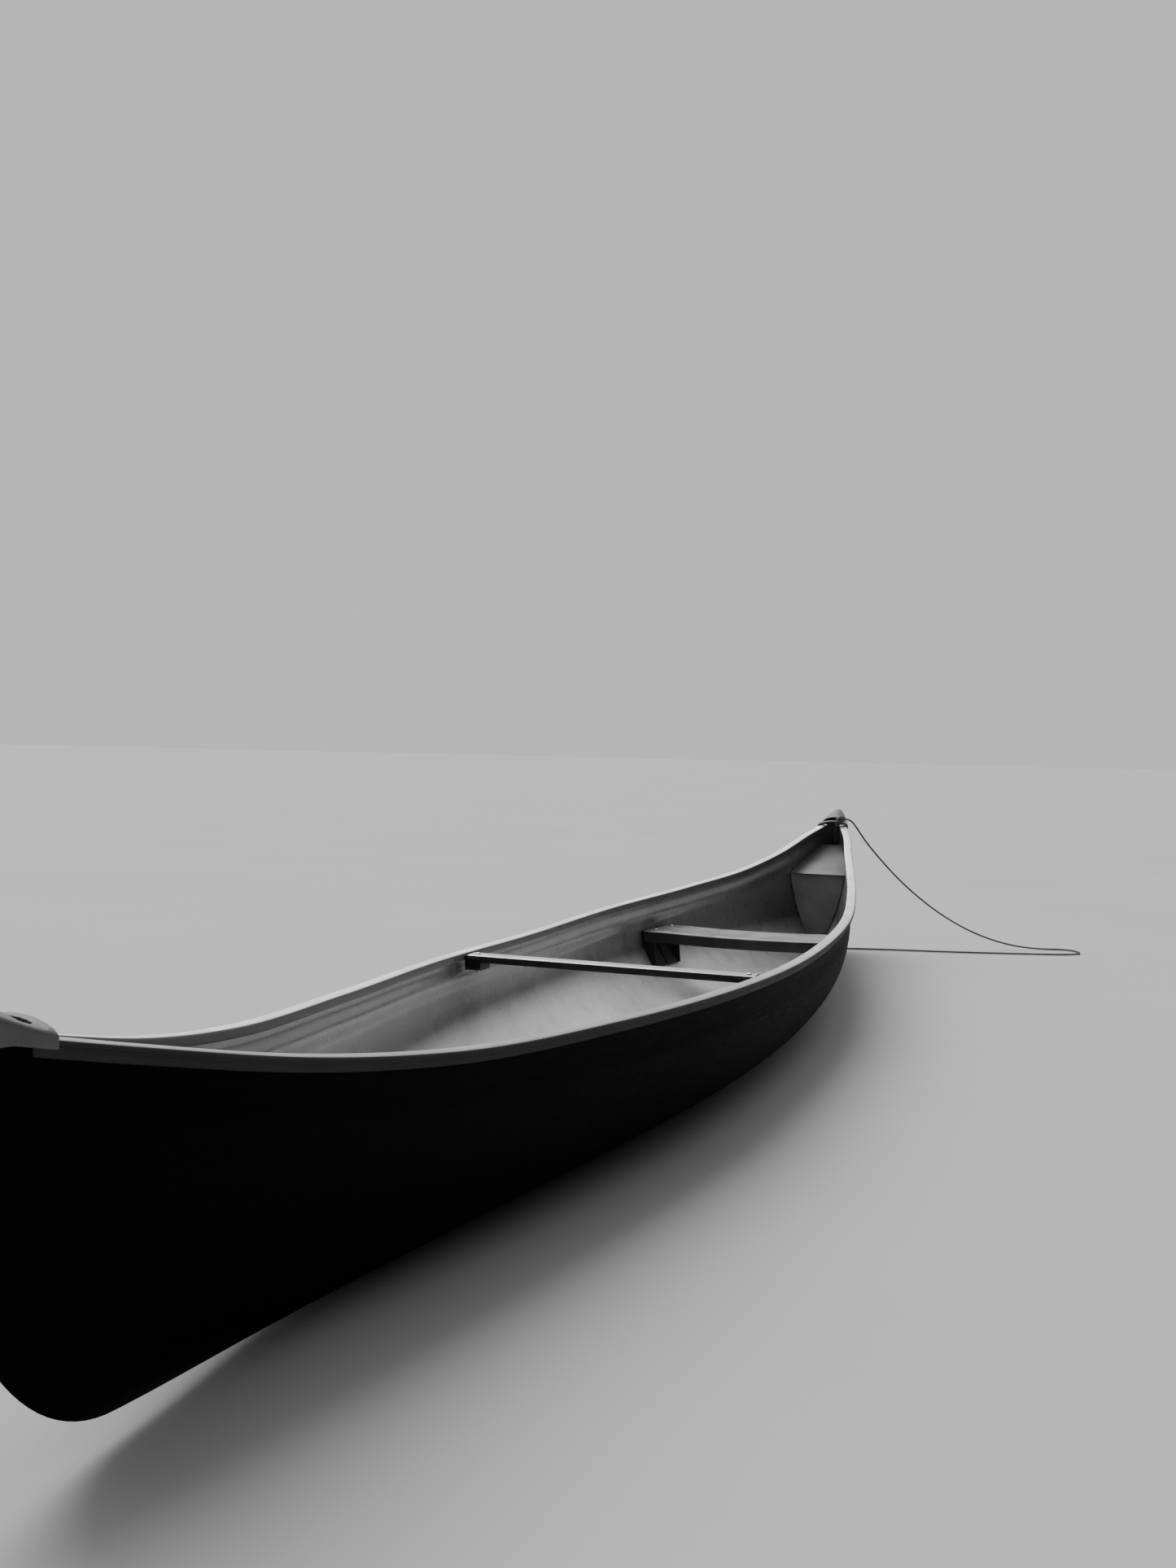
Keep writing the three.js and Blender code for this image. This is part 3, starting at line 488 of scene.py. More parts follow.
def cap_sheer(x):
    return sheer(min(1, x / HULL_HALF))


def cap_shoulder(x):
    along = (x - CAP_AFT) / (HALF_LENGTH - CAP_AFT)
    return cap_sheer(x) + CAP_LIFT + CAP_NOSE_RISE * smooth_step(along / NOSE_RISE_END)


def cap_section(x, shrink, drop):
    width = cap_half_width(x) - shrink
    along = (x - CAP_AFT) / (HALF_LENGTH - CAP_AFT)
    skirt = CAP_SKIRT + (NOSE_SKIRT - CAP_SKIRT) * smooth_step((along - 0.3) / 0.7)
    shoulder = cap_shoulder(x) - shrink
    past_nose = max(0.0, (x - NOSE_CENTRE) / NOSE_RADIUS)
    crown = CAP_CROWN * math.sqrt(max(0.0, 1 - 0.8 * past_nose ** 2))
    foot = cap_sheer(x) - skirt - drop
    ring = [Vector((x, -width, foot)), Vector((x, -width, shoulder - CAP_EDGE))]
    for k in range(25):
        side = -0.96 + 1.92 * k / 24
        ring.append(Vector((x, width * side, shoulder + crown * (1 - side * side))))
    ring.append(Vector((x, width, shoulder - CAP_EDGE)))
    ring.append(Vector((x, width, foot)))
    return ring


def cap_loft(name, start, end, shrink, drop):
    rings = []
    for i in range(CAP_STEPS + 1):
        t = i / CAP_STEPS
        x = start + (end - start) * (1 - (1 - t) ** CAP_CLOSING)
        rings.append(cap_section(x, shrink, drop))
    return loft(name, rings)


def handle_bow(y):
    return HANDLE_BOW * max(0.0, 1 - (y / cap_half_width(CAP_AFT)) ** 2)


def handle_bar():
    """The rounded bar along the cap's inboard edge."""
    reach = cap_half_width(CAP_AFT) - 8 * MM
    middle = CAP_AFT + HANDLE_WIDTH / 2
    rings = []
    for i in range(BAR_SPANS + 1):
        y = reach * (2 * i / BAR_SPANS - 1)
        side = y / cap_half_width(CAP_AFT)
        top = cap_sheer(middle) + CAP_LIFT + CAP_CROWN * (1 - side * side)
        ring = []
        for k in range(BAR_SIDES):
            angle = k / BAR_SIDES * 2 * math.pi
            ring.append(Vector((
                middle - handle_bow(y) + HANDLE_WIDTH / 2 * math.cos(angle),
                y,
                top - HANDLE_DEPTH / 2 + HANDLE_DEPTH / 2 * math.sin(angle),
            )))
        rings.append(ring)
    return loft("handle_bar", rings)


def hand_slot():
    """The cutter for the opening behind the handle."""
    straight = SLOT_LENGTH / 2 - SLOT_WIDTH / 2
    outline = []
    for k in range(2 * SLOT_ARC + 1):
        angle = k / SLOT_ARC * math.pi
        shift = straight if k <= SLOT_ARC else -straight
        outline.append((SLOT_WIDTH / 2 * math.cos(angle), shift + SLOT_WIDTH / 2 * math.sin(angle)))
    middle = cap_sheer(CAP_AFT)
    rings = []
    for z in (middle - SLOT_CUT / 2, middle + SLOT_CUT / 2):
        rings.append([Vector((SLOT_X + x, y, z)) for x, y in outline])
    return loft("hand_slot", rings)


def apply_modifiers(piece):
    graph = bpy.context.evaluated_depsgraph_get()
    made = bpy.data.meshes.new_from_object(piece.evaluated_get(graph))
    piece.modifiers.clear()
    piece.data = made
    for polygon in made.polygons:
        polygon.use_smooth = True


def combine(piece, other, operation):
    step = piece.modifiers.new(operation, "BOOLEAN")
    step.operation = operation
    step.object = other
    step.solver = "EXACT"
    apply_modifiers(piece)
    bpy.data.objects.remove(other)


def cap_mesh():
    """The moulded cap at the bow: a thin shell with a handle bar and a hand slot."""
    shell = cap_loft("cap_shell", CAP_AFT, HALF_LENGTH - 0.4 * MM, 0, 0)
    combine(shell, cap_loft("cap_hollow", CAP_AFT - 40 * MM, HALF_LENGTH - 8 * MM, CAP_WALL, 6 * MM),
            "DIFFERENCE")
    combine(shell, handle_bar(), "UNION")
    combine(shell, hand_slot(), "DIFFERENCE")
    remesh = shell.modifiers.new("remesh", "REMESH")
    remesh.mode = "VOXEL"
    remesh.voxel_size = CAP_VOXEL
    smooth = shell.modifiers.new("smooth", "SMOOTH")
    smooth.factor = 0.5
    smooth.iterations = 6
    apply_modifiers(shell)
    mesh = shell.data
    bpy.data.objects.remove(shell)
    return mesh


def end_cap(mesh, end, turn):
    data = mesh.copy()
    data.transform(Matrix.Rotation(turn, 4, "Z"))
    piece = bpy.data.objects.new(f"{end}_cap", data)
    bpy.context.scene.collection.objects.link(piece)
    return finish_piece(piece, [LOOKS["cap"]], [f"{end}_deck_cap"])


# ---------------------------------------------------------------- seats

SEAT_DEPTH = 205 * MM
SEATS = {"bow": (846 * MM, 242 * MM, 0.0), "stern": (1360 * MM, 236 * MM, math.pi)}
SEAT_FLANGE = 38 * MM
SEAT_WALL = 4 * MM
SEAT_DISH = 5 * MM
SEAT_SCOOP = 2.2 * MM
SEAT_SPANS = 40
SEAT_STEPS = 24
LIT_TOP_FACE = 0.55
SEAT_CLEARANCE = 9 * MM


def inside_half_breadth(x, z):
    """Half breadth of the hull's inside at a distance from midships and a height."""
    u = x / Inside.half
    rise = 0.0
    for _ in range(30):
        keel = Inside.keel(u)
        side_top = sheer(u * Inside.half / HULL_HALF) - RIM_DROP - SIDE_WALL
        rise = min(1.0, max(0.0, (z - keel) / (side_top - keel)))
        u = min(1.0, (x + STEM_RAKE * (1 - stem_reach(rise)) * u ** RAKE_ONSET) / Inside.half)
    power = fullness(u)
    full_rise = rise * (1 - flat_floor(u)) + flat_floor(u)
    return Inside.breadth(u) * (1 - (1 - full_rise) ** power) ** (1 / power)


def rounded(corners, radius, steps=4):
    """An outline with its corners cut by arcs. Each corner is (across, up, share of radius)."""
    outline = []
    for i, (x, z, share) in enumerate(corners):
        here = Vector((x, z))
        before = Vector(corners[i - 1][:2]) - here
        after = Vector(corners[(i + 1) % len(corners)][:2]) - here
        reach = min(radius * share, before.length * 0.45, after.length * 0.45)
        if reach <= 0:
            outline.append((x, z))
            continue
        start = here + before.normalized() * reach
        end = here + after.normalized() * reach
        for k in range(steps + 1):
            t = k / steps
            point = start * (1 - t) ** 2 + here * 2 * t * (1 - t) + end * t * t
            outline.append((point.x, point.y))
    return outline


def bench(end):
    """A moulded bench, dished along its middle, with rolled flanges front and back."""
    near, top, turn = SEATS[end]
    low = top - SEAT_FLANGE
    reach_near = inside_half_breadth(near, low) - SEAT_CLEARANCE
    reach_far = inside_half_breadth(near + SEAT_DEPTH, low) - SEAT_CLEARANCE
    corners = [
        (0, -SEAT_FLANGE, 0.3), (0, 0, 2.2), (SEAT_DEPTH, 0, 2.2), (SEAT_DEPTH, -SEAT_FLANGE, 0.3),
        (SEAT_DEPTH - SEAT_WALL, -SEAT_FLANGE, 0.3), (SEAT_DEPTH - SEAT_WALL, -SEAT_WALL, 1.6),
        (SEAT_WALL, -SEAT_WALL, 1.6), (SEAT_WALL, -SEAT_FLANGE, 0.3),
    ]
    outline = rounded(corners, 5 * MM, 6)
    whole = []
    for i, (x, z) in enumerate(outline):
        whole.append((x, z))
        nx, nz = outline[(i + 1) % len(outline)]
        if abs(nx - x) > SEAT_DEPTH / 2:
            for k in range(1, SEAT_STEPS):
                whole.append((x + (nx - x) * k / SEAT_STEPS, z + (nz - z) * k / SEAT_STEPS))
    rings = []
    for i in range(SEAT_SPANS + 1):
        side = 2 * i / SEAT_SPANS - 1
        ring = []
        for along, up in whole:
            reach = reach_near + (reach_far - reach_near) * along / SEAT_DEPTH
            dish = SEAT_DISH * max(0.0, 1 - (side / 0.8) ** 2)
            across = 2 * along / SEAT_DEPTH - 1
            scoop = SEAT_SCOOP * max(0.0, 1 - (side / 0.85) ** 2) * max(0.0, 1 - across ** 2 * 1.15)
            drop = dish + (scoop if up > -SEAT_FLANGE / 2 else 0)
            ring.append(Vector((near + along, side * reach, top + up - drop)))
        rings.append(ring)
    piece = loft(f"{end}_bench", rings)
    piece.data.transform(Matrix.Rotation(turn, 4, "Z"))
    # Painted shade: faces that point up take the seat look, the rest a near-black look.
    for polygon in piece.data.polygons:
        polygon.material_index = 0 if polygon.normal.z > LIT_TOP_FACE else 1
    add_bevel(piece, 1.2 * MM, 3, 55)
    return finish_piece(piece, [LOOKS["seat"], LOOKS["seat_side"]], [f"{end}_seat"])


# ---------------------------------------------------------------- bolts


def turned(name, profile, place, sides=28):
    """A round solid about a vertical line, from (radius, height) pairs that end on the line."""
    rings = []
    for radius, height in profile:
        ring = []
        for k in range(sides):
            angle = k / sides * 2 * math.pi
            ring.append(Vector((
                place[0] + radius * math.cos(angle), place[1] + radius * math.sin(angle), height)))
        rings.append(ring)
    return loft(name, rings)


BOLT_DOME = 3.6 * MM


def bolt(node):
    """A dome-headed bolt with its shank and a six-sided nut."""
    low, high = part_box(node)
    middle = ((low.x + high.x) / 2, (low.y + high.y) / 2)
    radius = (high.x - low.x) / 2
    head = BOLT_DOME
    under = high.z - head
    shank = 3 * MM
    dome = [(shank, under)]
    dome.append((radius - 0.4 * MM, under))
    dome.append((radius, under + 0.3 * MM))
    for k in range(1, 9):
        angle = k / 9 * math.pi / 2
        dome.append((radius * math.cos(angle), under + 0.3 * MM + (head - 0.3 * MM) * math.sin(angle)))
    dome.append((0.2 * MM, high.z))
    piece = turned(node.replace("bolt", "fastener"),
                   [(0.2 * MM, low.z), (shank - 0.4 * MM, low.z), (shank, low.z + 0.4 * MM), *dome],
                   middle)
    nut = turned("nut", [(shank, low.z + 3.4 * MM), (5.2 * MM, low.z + 3.4 * MM),
                         (5.8 * MM, low.z + 4.0 * MM), (5.8 * MM, low.z + 8.0 * MM),
                         (5.2 * MM, low.z + 8.6 * MM), (shank, low.z + 8.6 * MM)], middle, 6)
    join_into(piece, [nut])
    add_bevel(piece, 0.2 * MM, 1, 40)
    return finish_piece(piece, [LOOKS["steel"]], [node])


def join_into(piece, others):
    shape = bmesh.new()
    shape.from_mesh(piece.data)
    for other in others:
        shape.from_mesh(other.data)
        bpy.data.objects.remove(other)
    shape.to_mesh(piece.data)
    shape.free()
    piece.data.update()


# ---------------------------------------------------------------- painter

ROPE_DIAMETER = 8 * MM
ROPE_RADIUS = ROPE_DIAMETER / 2
ROPE_PITCH = 27 * MM
RING_RADIUS = 16.5 * MM
RING_Y = -19 * MM
RING_X = CAP_AFT + HANDLE_WIDTH / 2 - handle_bow(RING_Y)
RING_Z = (cap_sheer(CAP_AFT + HANDLE_WIDTH / 2) + CAP_LIFT - HANDLE_DEPTH / 2
          + CAP_CROWN * (1 - (RING_Y / cap_half_width(CAP_AFT)) ** 2))
ROPE_TOP = (RING_Z + RING_RADIUS) / MM
ROPE_FLOOR = 4.5
COIL_CENTRE = (1960, 330)

# Millimetres. The hang over the cap's side, the loose length on the ground, and the way
# under the stem to the coil.
ROPE_ROUTE = [
    (RING_X / MM, (RING_Y - ROPE_RADIUS) / MM - GAP, ROPE_TOP), (2447, -44, ROPE_TOP),
    (2449, -60, ROPE_TOP - 3), (2452, -74, ROPE_TOP - 8), (2456, -86, ROPE_TOP - 18),
    (2481, -140, 468), (2511, -204, 387), (2545, -276, 306),
    (2583, -358, 228), (2625, -449, 156), (2672, -548, 94), (2718, -648, 49), (2764, -748, 20),
    (2803, -829, 8), (2830, -888, ROPE_FLOOR), (2845, -935, ROPE_FLOOR),
    (2838, -985, ROPE_FLOOR), (2800, -1020, ROPE_FLOOR), (2745, -1018, ROPE_FLOOR),
    (2698, -972, ROPE_FLOOR), (2650, -860, ROPE_FLOOR), (2590, -680, ROPE_FLOOR),
    (2530, -470, ROPE_FLOOR), (2480, -250, ROPE_FLOOR), (2410, -40, ROPE_FLOOR),
    (2310, 100, ROPE_FLOOR), (2190, 170, ROPE_FLOOR), (2100, 205, ROPE_FLOOR),
    (2045, 245, ROPE_FLOOR), (2022, 290, ROPE_FLOOR), (2019, 318, ROPE_FLOOR),
]
COIL_TURNS = 3.5
OUTER_TURN = 49
ROPE_STEP = 8
CROSSING = 0.18
TAIL = 0.14


def coil_point(angle):
    """Two turns on the ground, the second inside the first, then the rest on top of them."""
    turn = angle / (2 * math.pi)
    inward = smooth_step((turn - 0.80) / CROSSING)
    climb = smooth_step((turn - 1.82) / 0.16)
    outward = smooth_step((turn - 2.80) / CROSSING)
    arrive = 1 - smooth_step(turn / 0.10)
    leave = smooth_step((turn - COIL_TURNS + TAIL) / TAIL)
    radius = OUTER_TURN + ROPE_STEP * (outward - inward) + 9 * arrive + 7.5 * leave
    height = ROPE_FLOOR + ROPE_STEP * climb - 4.5 * leave
    return (COIL_CENTRE[0] + radius * math.cos(angle),
            COIL_CENTRE[1] + radius * math.sin(angle), height)


def curve_through(points, step):
    """Evenly spaced points of a centripetal Catmull-Rom curve through the points."""
    whole = [Vector(point) for point in points]
    ends = [whole[0] * 2 - whole[1], *whole, whole[-1] * 2 - whole[-2]]
    dense = []
    for i in range(len(whole) - 1):
        p0, p1, p2, p3 = ends[i:i + 4]
        t0 = 0.0
        t1 = t0 + (p1 - p0).length ** 0.5
        t2 = t1 + (p2 - p1).length ** 0.5
        t3 = t2 + (p3 - p2).length ** 0.5
        for k in range(24):
            t = t1 + (t2 - t1) * k / 24
            a1 = p0 * ((t1 - t) / (t1 - t0)) + p1 * ((t - t0) / (t1 - t0))
            a2 = p1 * ((t2 - t) / (t2 - t1)) + p2 * ((t - t1) / (t2 - t1))
            a3 = p2 * ((t3 - t) / (t3 - t2)) + p3 * ((t - t2) / (t3 - t2))
            b1 = a1 * ((t2 - t) / (t2 - t0)) + a2 * ((t - t0) / (t2 - t0))
            b2 = a2 * ((t3 - t) / (t3 - t1)) + a3 * ((t - t1) / (t3 - t1))
            dense.append(b1 * ((t2 - t) / (t2 - t1)) + b2 * ((t - t1) / (t2 - t1)))
    dense.append(whole[-1])
    return evenly(dense, step)


def evenly(points, step):
    lengths = [0.0]
    for before, after in zip(points, points[1:]):
        lengths.append(lengths[-1] + (after - before).length)
    count = max(2, round(lengths[-1] / step))
    made = []
    i = 0
    for k in range(count + 1):
        want = lengths[-1] * k / count
        while i < len(points) - 2 and lengths[i + 1] < want:
            i += 1
        span = lengths[i + 1] - lengths[i]
        share = 0 if span == 0 else (want - lengths[i]) / span
        made.append(points[i].lerp(points[i + 1], min(1.0, share)))
    return made


def path_length(path):
    return sum((after - before).length for before, after in zip(path, path[1:]))


def laid_rope(name, path, radius, pitch, closed=False):
    """A three-strand rope along a path: three lobes that turn about it once in each pitch."""
    sides = 18
    count = len(path)
    rings = []
    travelled = 0.0
    tangent = (path[1] - path[0]).normalized()
    normal = tangent.orthogonal().normalized()
    total = path_length(path) + ((path[0] - path[-1]).length if closed else 0)
    if closed:
        pitch = total / max(1, round(total / pitch))
    for i, point in enumerate(path):
        if closed:
            tangent = (path[(i + 1) % count] - path[i - 1]).normalized()
        else:
            tangent = (path[min(i + 1, count - 1)] - path[max(i - 1, 0)]).normalized()
        normal = (normal - tangent * normal.dot(tangent)).normalized()
        side = tangent.cross(normal)
        if i:
            travelled += (point - path[i - 1]).length
        twist = 2 * math.pi * travelled / pitch
        ring = []
        for k in range(sides):
            angle = 2 * math.pi * k / sides
            lobe = abs(math.cos(1.5 * (angle - twist)))
            reach = radius * (0.80 + 0.20 * lobe ** 0.7)
            ring.append(point + normal * (reach * math.cos(angle)) + side * (reach * math.sin(angle)))
        rings.append(ring)
    if closed:
        rings.append(rings[0])
    return loft(name, rings, ends=not closed)


def painter_path():
    route = [Vector(point) * MM for point in ROPE_ROUTE]
    for k in range(1, round(COIL_TURNS * 36) + 1):
        route.append(Vector(coil_point(k / 36 * 2 * math.pi)) * MM)
    return curve_through(route, 2.2 * MM)


def make_painter():
    path = painter_path()
    length = path_length(path)
    rope = laid_rope("painter_line", path, ROPE_RADIUS, ROPE_PITCH)
    finish_piece(rope, [LOOKS["rope"]], ["painter_rope", "painter_coil"])

    ring = []
    for k in range(48):
        angle = k / 48 * 2 * math.pi
        ring.append(Vector((
            RING_X + RING_RADIUS * math.cos(angle), RING_Y + 1.5 * MM * math.cos(angle),
            RING_Z + RING_RADIUS * math.sin(angle))))
    loop = laid_rope("painter_loop", evenly(ring + [ring[0]], 2 * MM)[:-1], ROPE_RADIUS,
                     ROPE_PITCH, closed=True)
    wraps = []
    start, end = path[2], path[11]
    axis = (end - start).normalized()
    out = Vector((0, 0, 1))
    across = axis.cross(out)
    for k in range(101):
        angle = k / 100 * 3 * 2 * math.pi - math.pi / 2
        centre = start.lerp(end, k / 100)
        wraps.append(centre + (out * math.sin(angle) + across * math.cos(angle)) * 7.6 * MM)
    knot = laid_rope("painter_wraps", evenly(wraps, 2 * MM), ROPE_RADIUS * 0.94, ROPE_PITCH)
    join_into(loop, [knot])
    finish_piece(loop, [LOOKS["rope"]], ["painter_hitch"])

    low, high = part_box("painter_end_knot")
    centre = (low + high) / 2
    trefoil = []
    for k in range(96):
        t = k / 96 * 2 * math.pi
        trefoil.append(centre + Vector((
            math.sin(t) + 2 * math.sin(2 * t), math.cos(t) - 2 * math.cos(2 * t),
            -1.4 * math.sin(3 * t))) * 2.6 * MM)
    stopper = laid_rope("painter_stopper", evenly(trefoil + [trefoil[0]], 1.5 * MM)[:-1],
                        ROPE_RADIUS * 0.8, ROPE_PITCH * 0.8, closed=True)
    finish_piece(stopper, [LOOKS["rope"]], ["painter_end_knot"])
    return length


# ---------------------------------------------------------------- materials


def principled(name, colour, roughness, metallic=0.0, specular=0.5):
    material = bpy.data.materials.new(name)
    material.use_nodes = True
    shader = material.node_tree.nodes["Principled BSDF"]
    shader.inputs["Base Color"].default_value = (*colour, 1)
    shader.inputs["Roughness"].default_value = roughness
    shader.inputs["Metallic"].default_value = metallic
    shader.inputs["Specular IOR Level"].default_value = specular
    return material, shader


def node(material, kind, **values):
    made = material.node_tree.nodes.new(kind)
    for key, value in values.items():
        if key in made.inputs:
            made.inputs[key].default_value = value
        else:
            setattr(made, key, value)
    return made


def link(material, source, target):
    material.node_tree.links.new(source, target)


def coordinates(material, stretch, source="Object"):
    """The piece's own place, stretched so that a pattern runs along one axis."""
    place = node(material, "ShaderNodeTexCoord")
    mapping = node(material, "ShaderNodeMapping")
    mapping.inputs["Scale"].default_value = stretch
    link(material, place.outputs[source], mapping.inputs["Vector"])
    return mapping.outputs["Vector"]


def noise(material, vector, scale, detail=4.0, roughness=0.55):
    made = node(material, "ShaderNodeTexNoise", Scale=scale, Detail=detail, Roughness=roughness)
    link(material, vector, made.inputs["Vector"])
    return made.outputs["Fac"]


def ramp(material, value, stops):
    """Greys or colours by value, from (place, grey) pairs."""
    made = node(material, "ShaderNodeValToRGB")
    link(material, value, made.inputs["Fac"])
    elements = made.color_ramp.elements
    while len(elements) < len(stops):
        elements.new(0.5)
    for element, (place, grey) in zip(elements, stops):
        element.position = place
        element.color = (grey, grey, grey, 1)
    return made.outputs["Color"]


def mixed(material, kind, first, second, share=1.0):
    made = node(material, "ShaderNodeMix", data_type="RGBA", blend_type=kind)
    for socket, value in ((made.inputs[0], share), (made.inputs[6], first), (made.inputs[7], second)):
        if isinstance(value, bpy.types.NodeSocket):
            link(material, value, socket)
        else:
            socket.default_value = value
    return made.outputs[2]


def bump(material, shader, value, strength, distance):
    made = node(material, "ShaderNodeBump", Strength=strength, Distance=distance)
    link(material, value, made.inputs["Height"])
    link(material, made.outputs["Normal"], shader.inputs["Normal"])


def between(material, axis, low, high):
    """How far along an axis a place is, 0 at the low value and 1 at the high one."""
    place = node(material, "ShaderNodeSeparateXYZ")
    link(material, coordinates(material, (1, 1, 1)), place.inputs["Vector"])
    spread = node(material, "ShaderNodeMapRange")
    spread.inputs["From Min"].default_value = low
    spread.inputs["From Max"].default_value = high
    link(material, place.outputs[axis], spread.inputs["Value"])
    return spread.outputs["Result"]


def shaded_toward(material, colour, place, reach, depth):
    """The colour, darkened toward a place: painted shade."""
    apart = node(material, "ShaderNodeVectorMath", operation="DISTANCE")
    link(material, coordinates(material, (1, 1, 1)), apart.inputs[0])
    apart.inputs[1].default_value = place
    near = node(material, "ShaderNodeMapRange", interpolation_type="SMOOTHSTEP")
    near.inputs["From Max"].default_value = reach
    near.inputs["To Min"].default_value = depth
    link(material, apart.outputs["Value"], near.inputs["Value"])
    return mixed(material, "MULTIPLY", colour, near.outputs["Result"], 1.0)


def hull_outside_look():
    """Dark gelcoat, faintly chalked, with fine fore-and-aft scuffs."""
    made, shader = principled("dark_gelcoat", (0.003, 0.003, 0.003), 0.65, specular=0.04)
    cloud = noise(made, coordinates(made, (0.7, 1, 1)), 2.2)
    tone = ramp(made, cloud, [(0.3, 0.0014), (0.75, 0.0026)])
    scuffs = noise(made, coordinates(made, (2.5, 40, 60)), 5, 6, 0.6)
    marks = ramp(made, scuffs, [(0.64, 0.0), (0.76, 0.005)])
    colour = mixed(made, "ADD", tone, marks, 0.6)
    link(made, colour, shader.inputs["Base Color"])
    rough = ramp(made, scuffs, [(0.35, 0.60), (0.7, 0.72)])
    link(made, rough, shader.inputs["Roughness"])
    grain = noise(made, coordinates(made, (1, 1, 1)), 60, 3)
    bump(made, shader, grain, 0.08, 0.002)
    return made


# Painted shade under the thwart's ends and under the bow seat's ends, in metres.
SHADE_SPOTS = [(-0.45, 0.37, 0.27), (-0.45, -0.37, 0.27), (0.95, 0.30, 0.16), (0.95, -0.30, 0.16)]
SHADE_SPOT_REACH = 0.17
# Height in metres over which painted light on the floor gives way to painted shade on the walls.
FLOOR_LIGHT_HEIGHT = 0.30


def hull_inside_look():
    """Grey laminate paint, satin, blotched by water, with painted light on the floor and painted shade
    on the walls, toward both ends and under the thwart's and bow seat's ends.
    """
    made, shader = principled("grey_laminate", (0.3, 0.3, 0.3), 0.30, specular=0.9)
    cloud = noise(made, coordinates(made, (1, 1, 1)), 3.2, 5)
    tone = ramp(made, cloud, [(0.28, 0.74), (0.72, 0.98)])
    streaks = noise(made, coordinates(made, (3, 4, 2.2)), 4, 3, 0.5)
    dark = ramp(made, streaks, [(0.3, 0.78), (0.6, 1.0)])
    colour = mixed(made, "MULTIPLY", tone, dark, 0.6)
    blotches = noise(made, coordinates(made, (1, 1, 1)), 11, 6, 0.65)
    stains = ramp(made, blotches, [(0.30, 0.66), (0.60, 1.0)])
    colour = mixed(made, "MULTIPLY", colour, stains, 0.55)
    # Painted light and shade by height: the floor stays pale, the walls go much darker.
    height = between(made, "Z", 0, FLOOR_LIGHT_HEIGHT)
    floor_light_wall_shade = ramp(made, height, [(0.0, 1.0), (0.35, 0.97), (0.60, 0.15), (0.8, 0.19), (1.0, 0.33)])
    colour = mixed(made, "MULTIPLY", colour, floor_light_wall_shade, 1.0)
    # Painted shade: darker toward both ends.
    place = between(made, "X", -HALF_LENGTH, HALF_LENGTH)
    ends = ramp(made, place, [(0.12, 0.5), (0.35, 0.88), (0.66, 1.0), (0.86, 0.52)])
    colour = mixed(made, "MULTIPLY", colour, ends, 1.0)
    # Painted shade under the thwart's ends and the bow seat's ends.
    for shade_spot in SHADE_SPOTS:
        colour = shaded_toward(made, colour, shade_spot, SHADE_SPOT_REACH, 0.35)
    link(made, colour, shader.inputs["Base Color"])
    rough = ramp(made, streaks, [(0.3, 0.24), (0.7, 0.34)])
    link(made, rough, shader.inputs["Roughness"])
    weave = noise(made, coordinates(made, (1, 1, 1)), 120, 3, 0.5)
    bump(made, shader, weave, 0.04, 0.0012)
    return made


def aluminium_look(name, low, high, roughness, stern_shade_tone=1.0):
    """Drawn aluminium, dulled by weather, with fine lines along its length, and painted shade darkening
    it toward the stern.
    """
    made, shader = principled(name, (high, high, high), roughness, metallic=0.75)
    lines = noise(made, coordinates(made, (1.5, 900, 1), "UV"), 3, 5, 0.6)
    cloud = noise(made, coordinates(made, (1, 1, 1)), 9, 5)
    tone = ramp(made, cloud, [(0.3, low), (0.7, high)])
    drawn = ramp(made, lines, [(0.3, 0.82), (0.7, 1.0)])
    colour = mixed(made, "MULTIPLY", tone, drawn, 0.7)
    pits = noise(made, coordinates(made, (1, 1, 1)), 160, 2)
    pitted = ramp(made, pits, [(0.26, 0.45), (0.33, 1.0)])
    colour = mixed(made, "MULTIPLY", colour, pitted, 0.6)
    # Painted shade: darker toward the stern.
    stern_shade_ramp = ramp(made, between(made, "X", -HALF_LENGTH, HALF_LENGTH), [(0.3, stern_shade_tone), (0.8, 1.0)])
    link(made, mixed(made, "MULTIPLY", colour, stern_shade_ramp, 1.0), shader.inputs["Base Color"])
    rough = ramp(made, cloud, [(0.3, roughness - 0.08), (0.7, roughness + 0.08)])
    link(made, rough, shader.inputs["Roughness"])
    bump(made, shader, lines, 0.06, 0.0006)
    return made


def plastic_look(name, low, high, roughness, grain, strength, specular=0.5):
    """Moulded plastic with a fine pebble and a little fading."""
    made, shader = principled(name, (high, high, high), roughness, specular=specular)
    cloud = noise(made, coordinates(made, (1, 1, 1)), 14, 5)
    tone = ramp(made, cloud, [(0.3, low), (0.7, high)])
    specks = noise(made, coordinates(made, (1, 1, 1)), 190, 2)
    dots = ramp(made, specks, [(0.28, 0.5), (0.36, 1.0)])
    link(made, mixed(made, "MULTIPLY", tone, dots, 0.5), shader.inputs["Base Color"])
    rough = ramp(made, cloud, [(0.3, roughness - 0.07), (0.7, roughness + 0.07)])
    link(made, rough, shader.inputs["Roughness"])
    pebble = noise(made, coordinates(made, (1, 1, 1)), grain, 3)
    bump(made, shader, pebble, strength, 0.001)
    return made


def steel_look():
    made, shader = principled("bolt_steel", (0.55, 0.55, 0.55), 0.3, metallic=1.0)
    cloud = noise(made, coordinates(made, (1, 1, 1)), 240, 4)
    link(made, ramp(made, cloud, [(0.3, 0.34), (0.7, 0.62)]), shader.inputs["Base Color"])
    link(made, ramp(made, cloud, [(0.3, 0.45), (0.7, 0.24)]), shader.inputs["Roughness"])
    return made


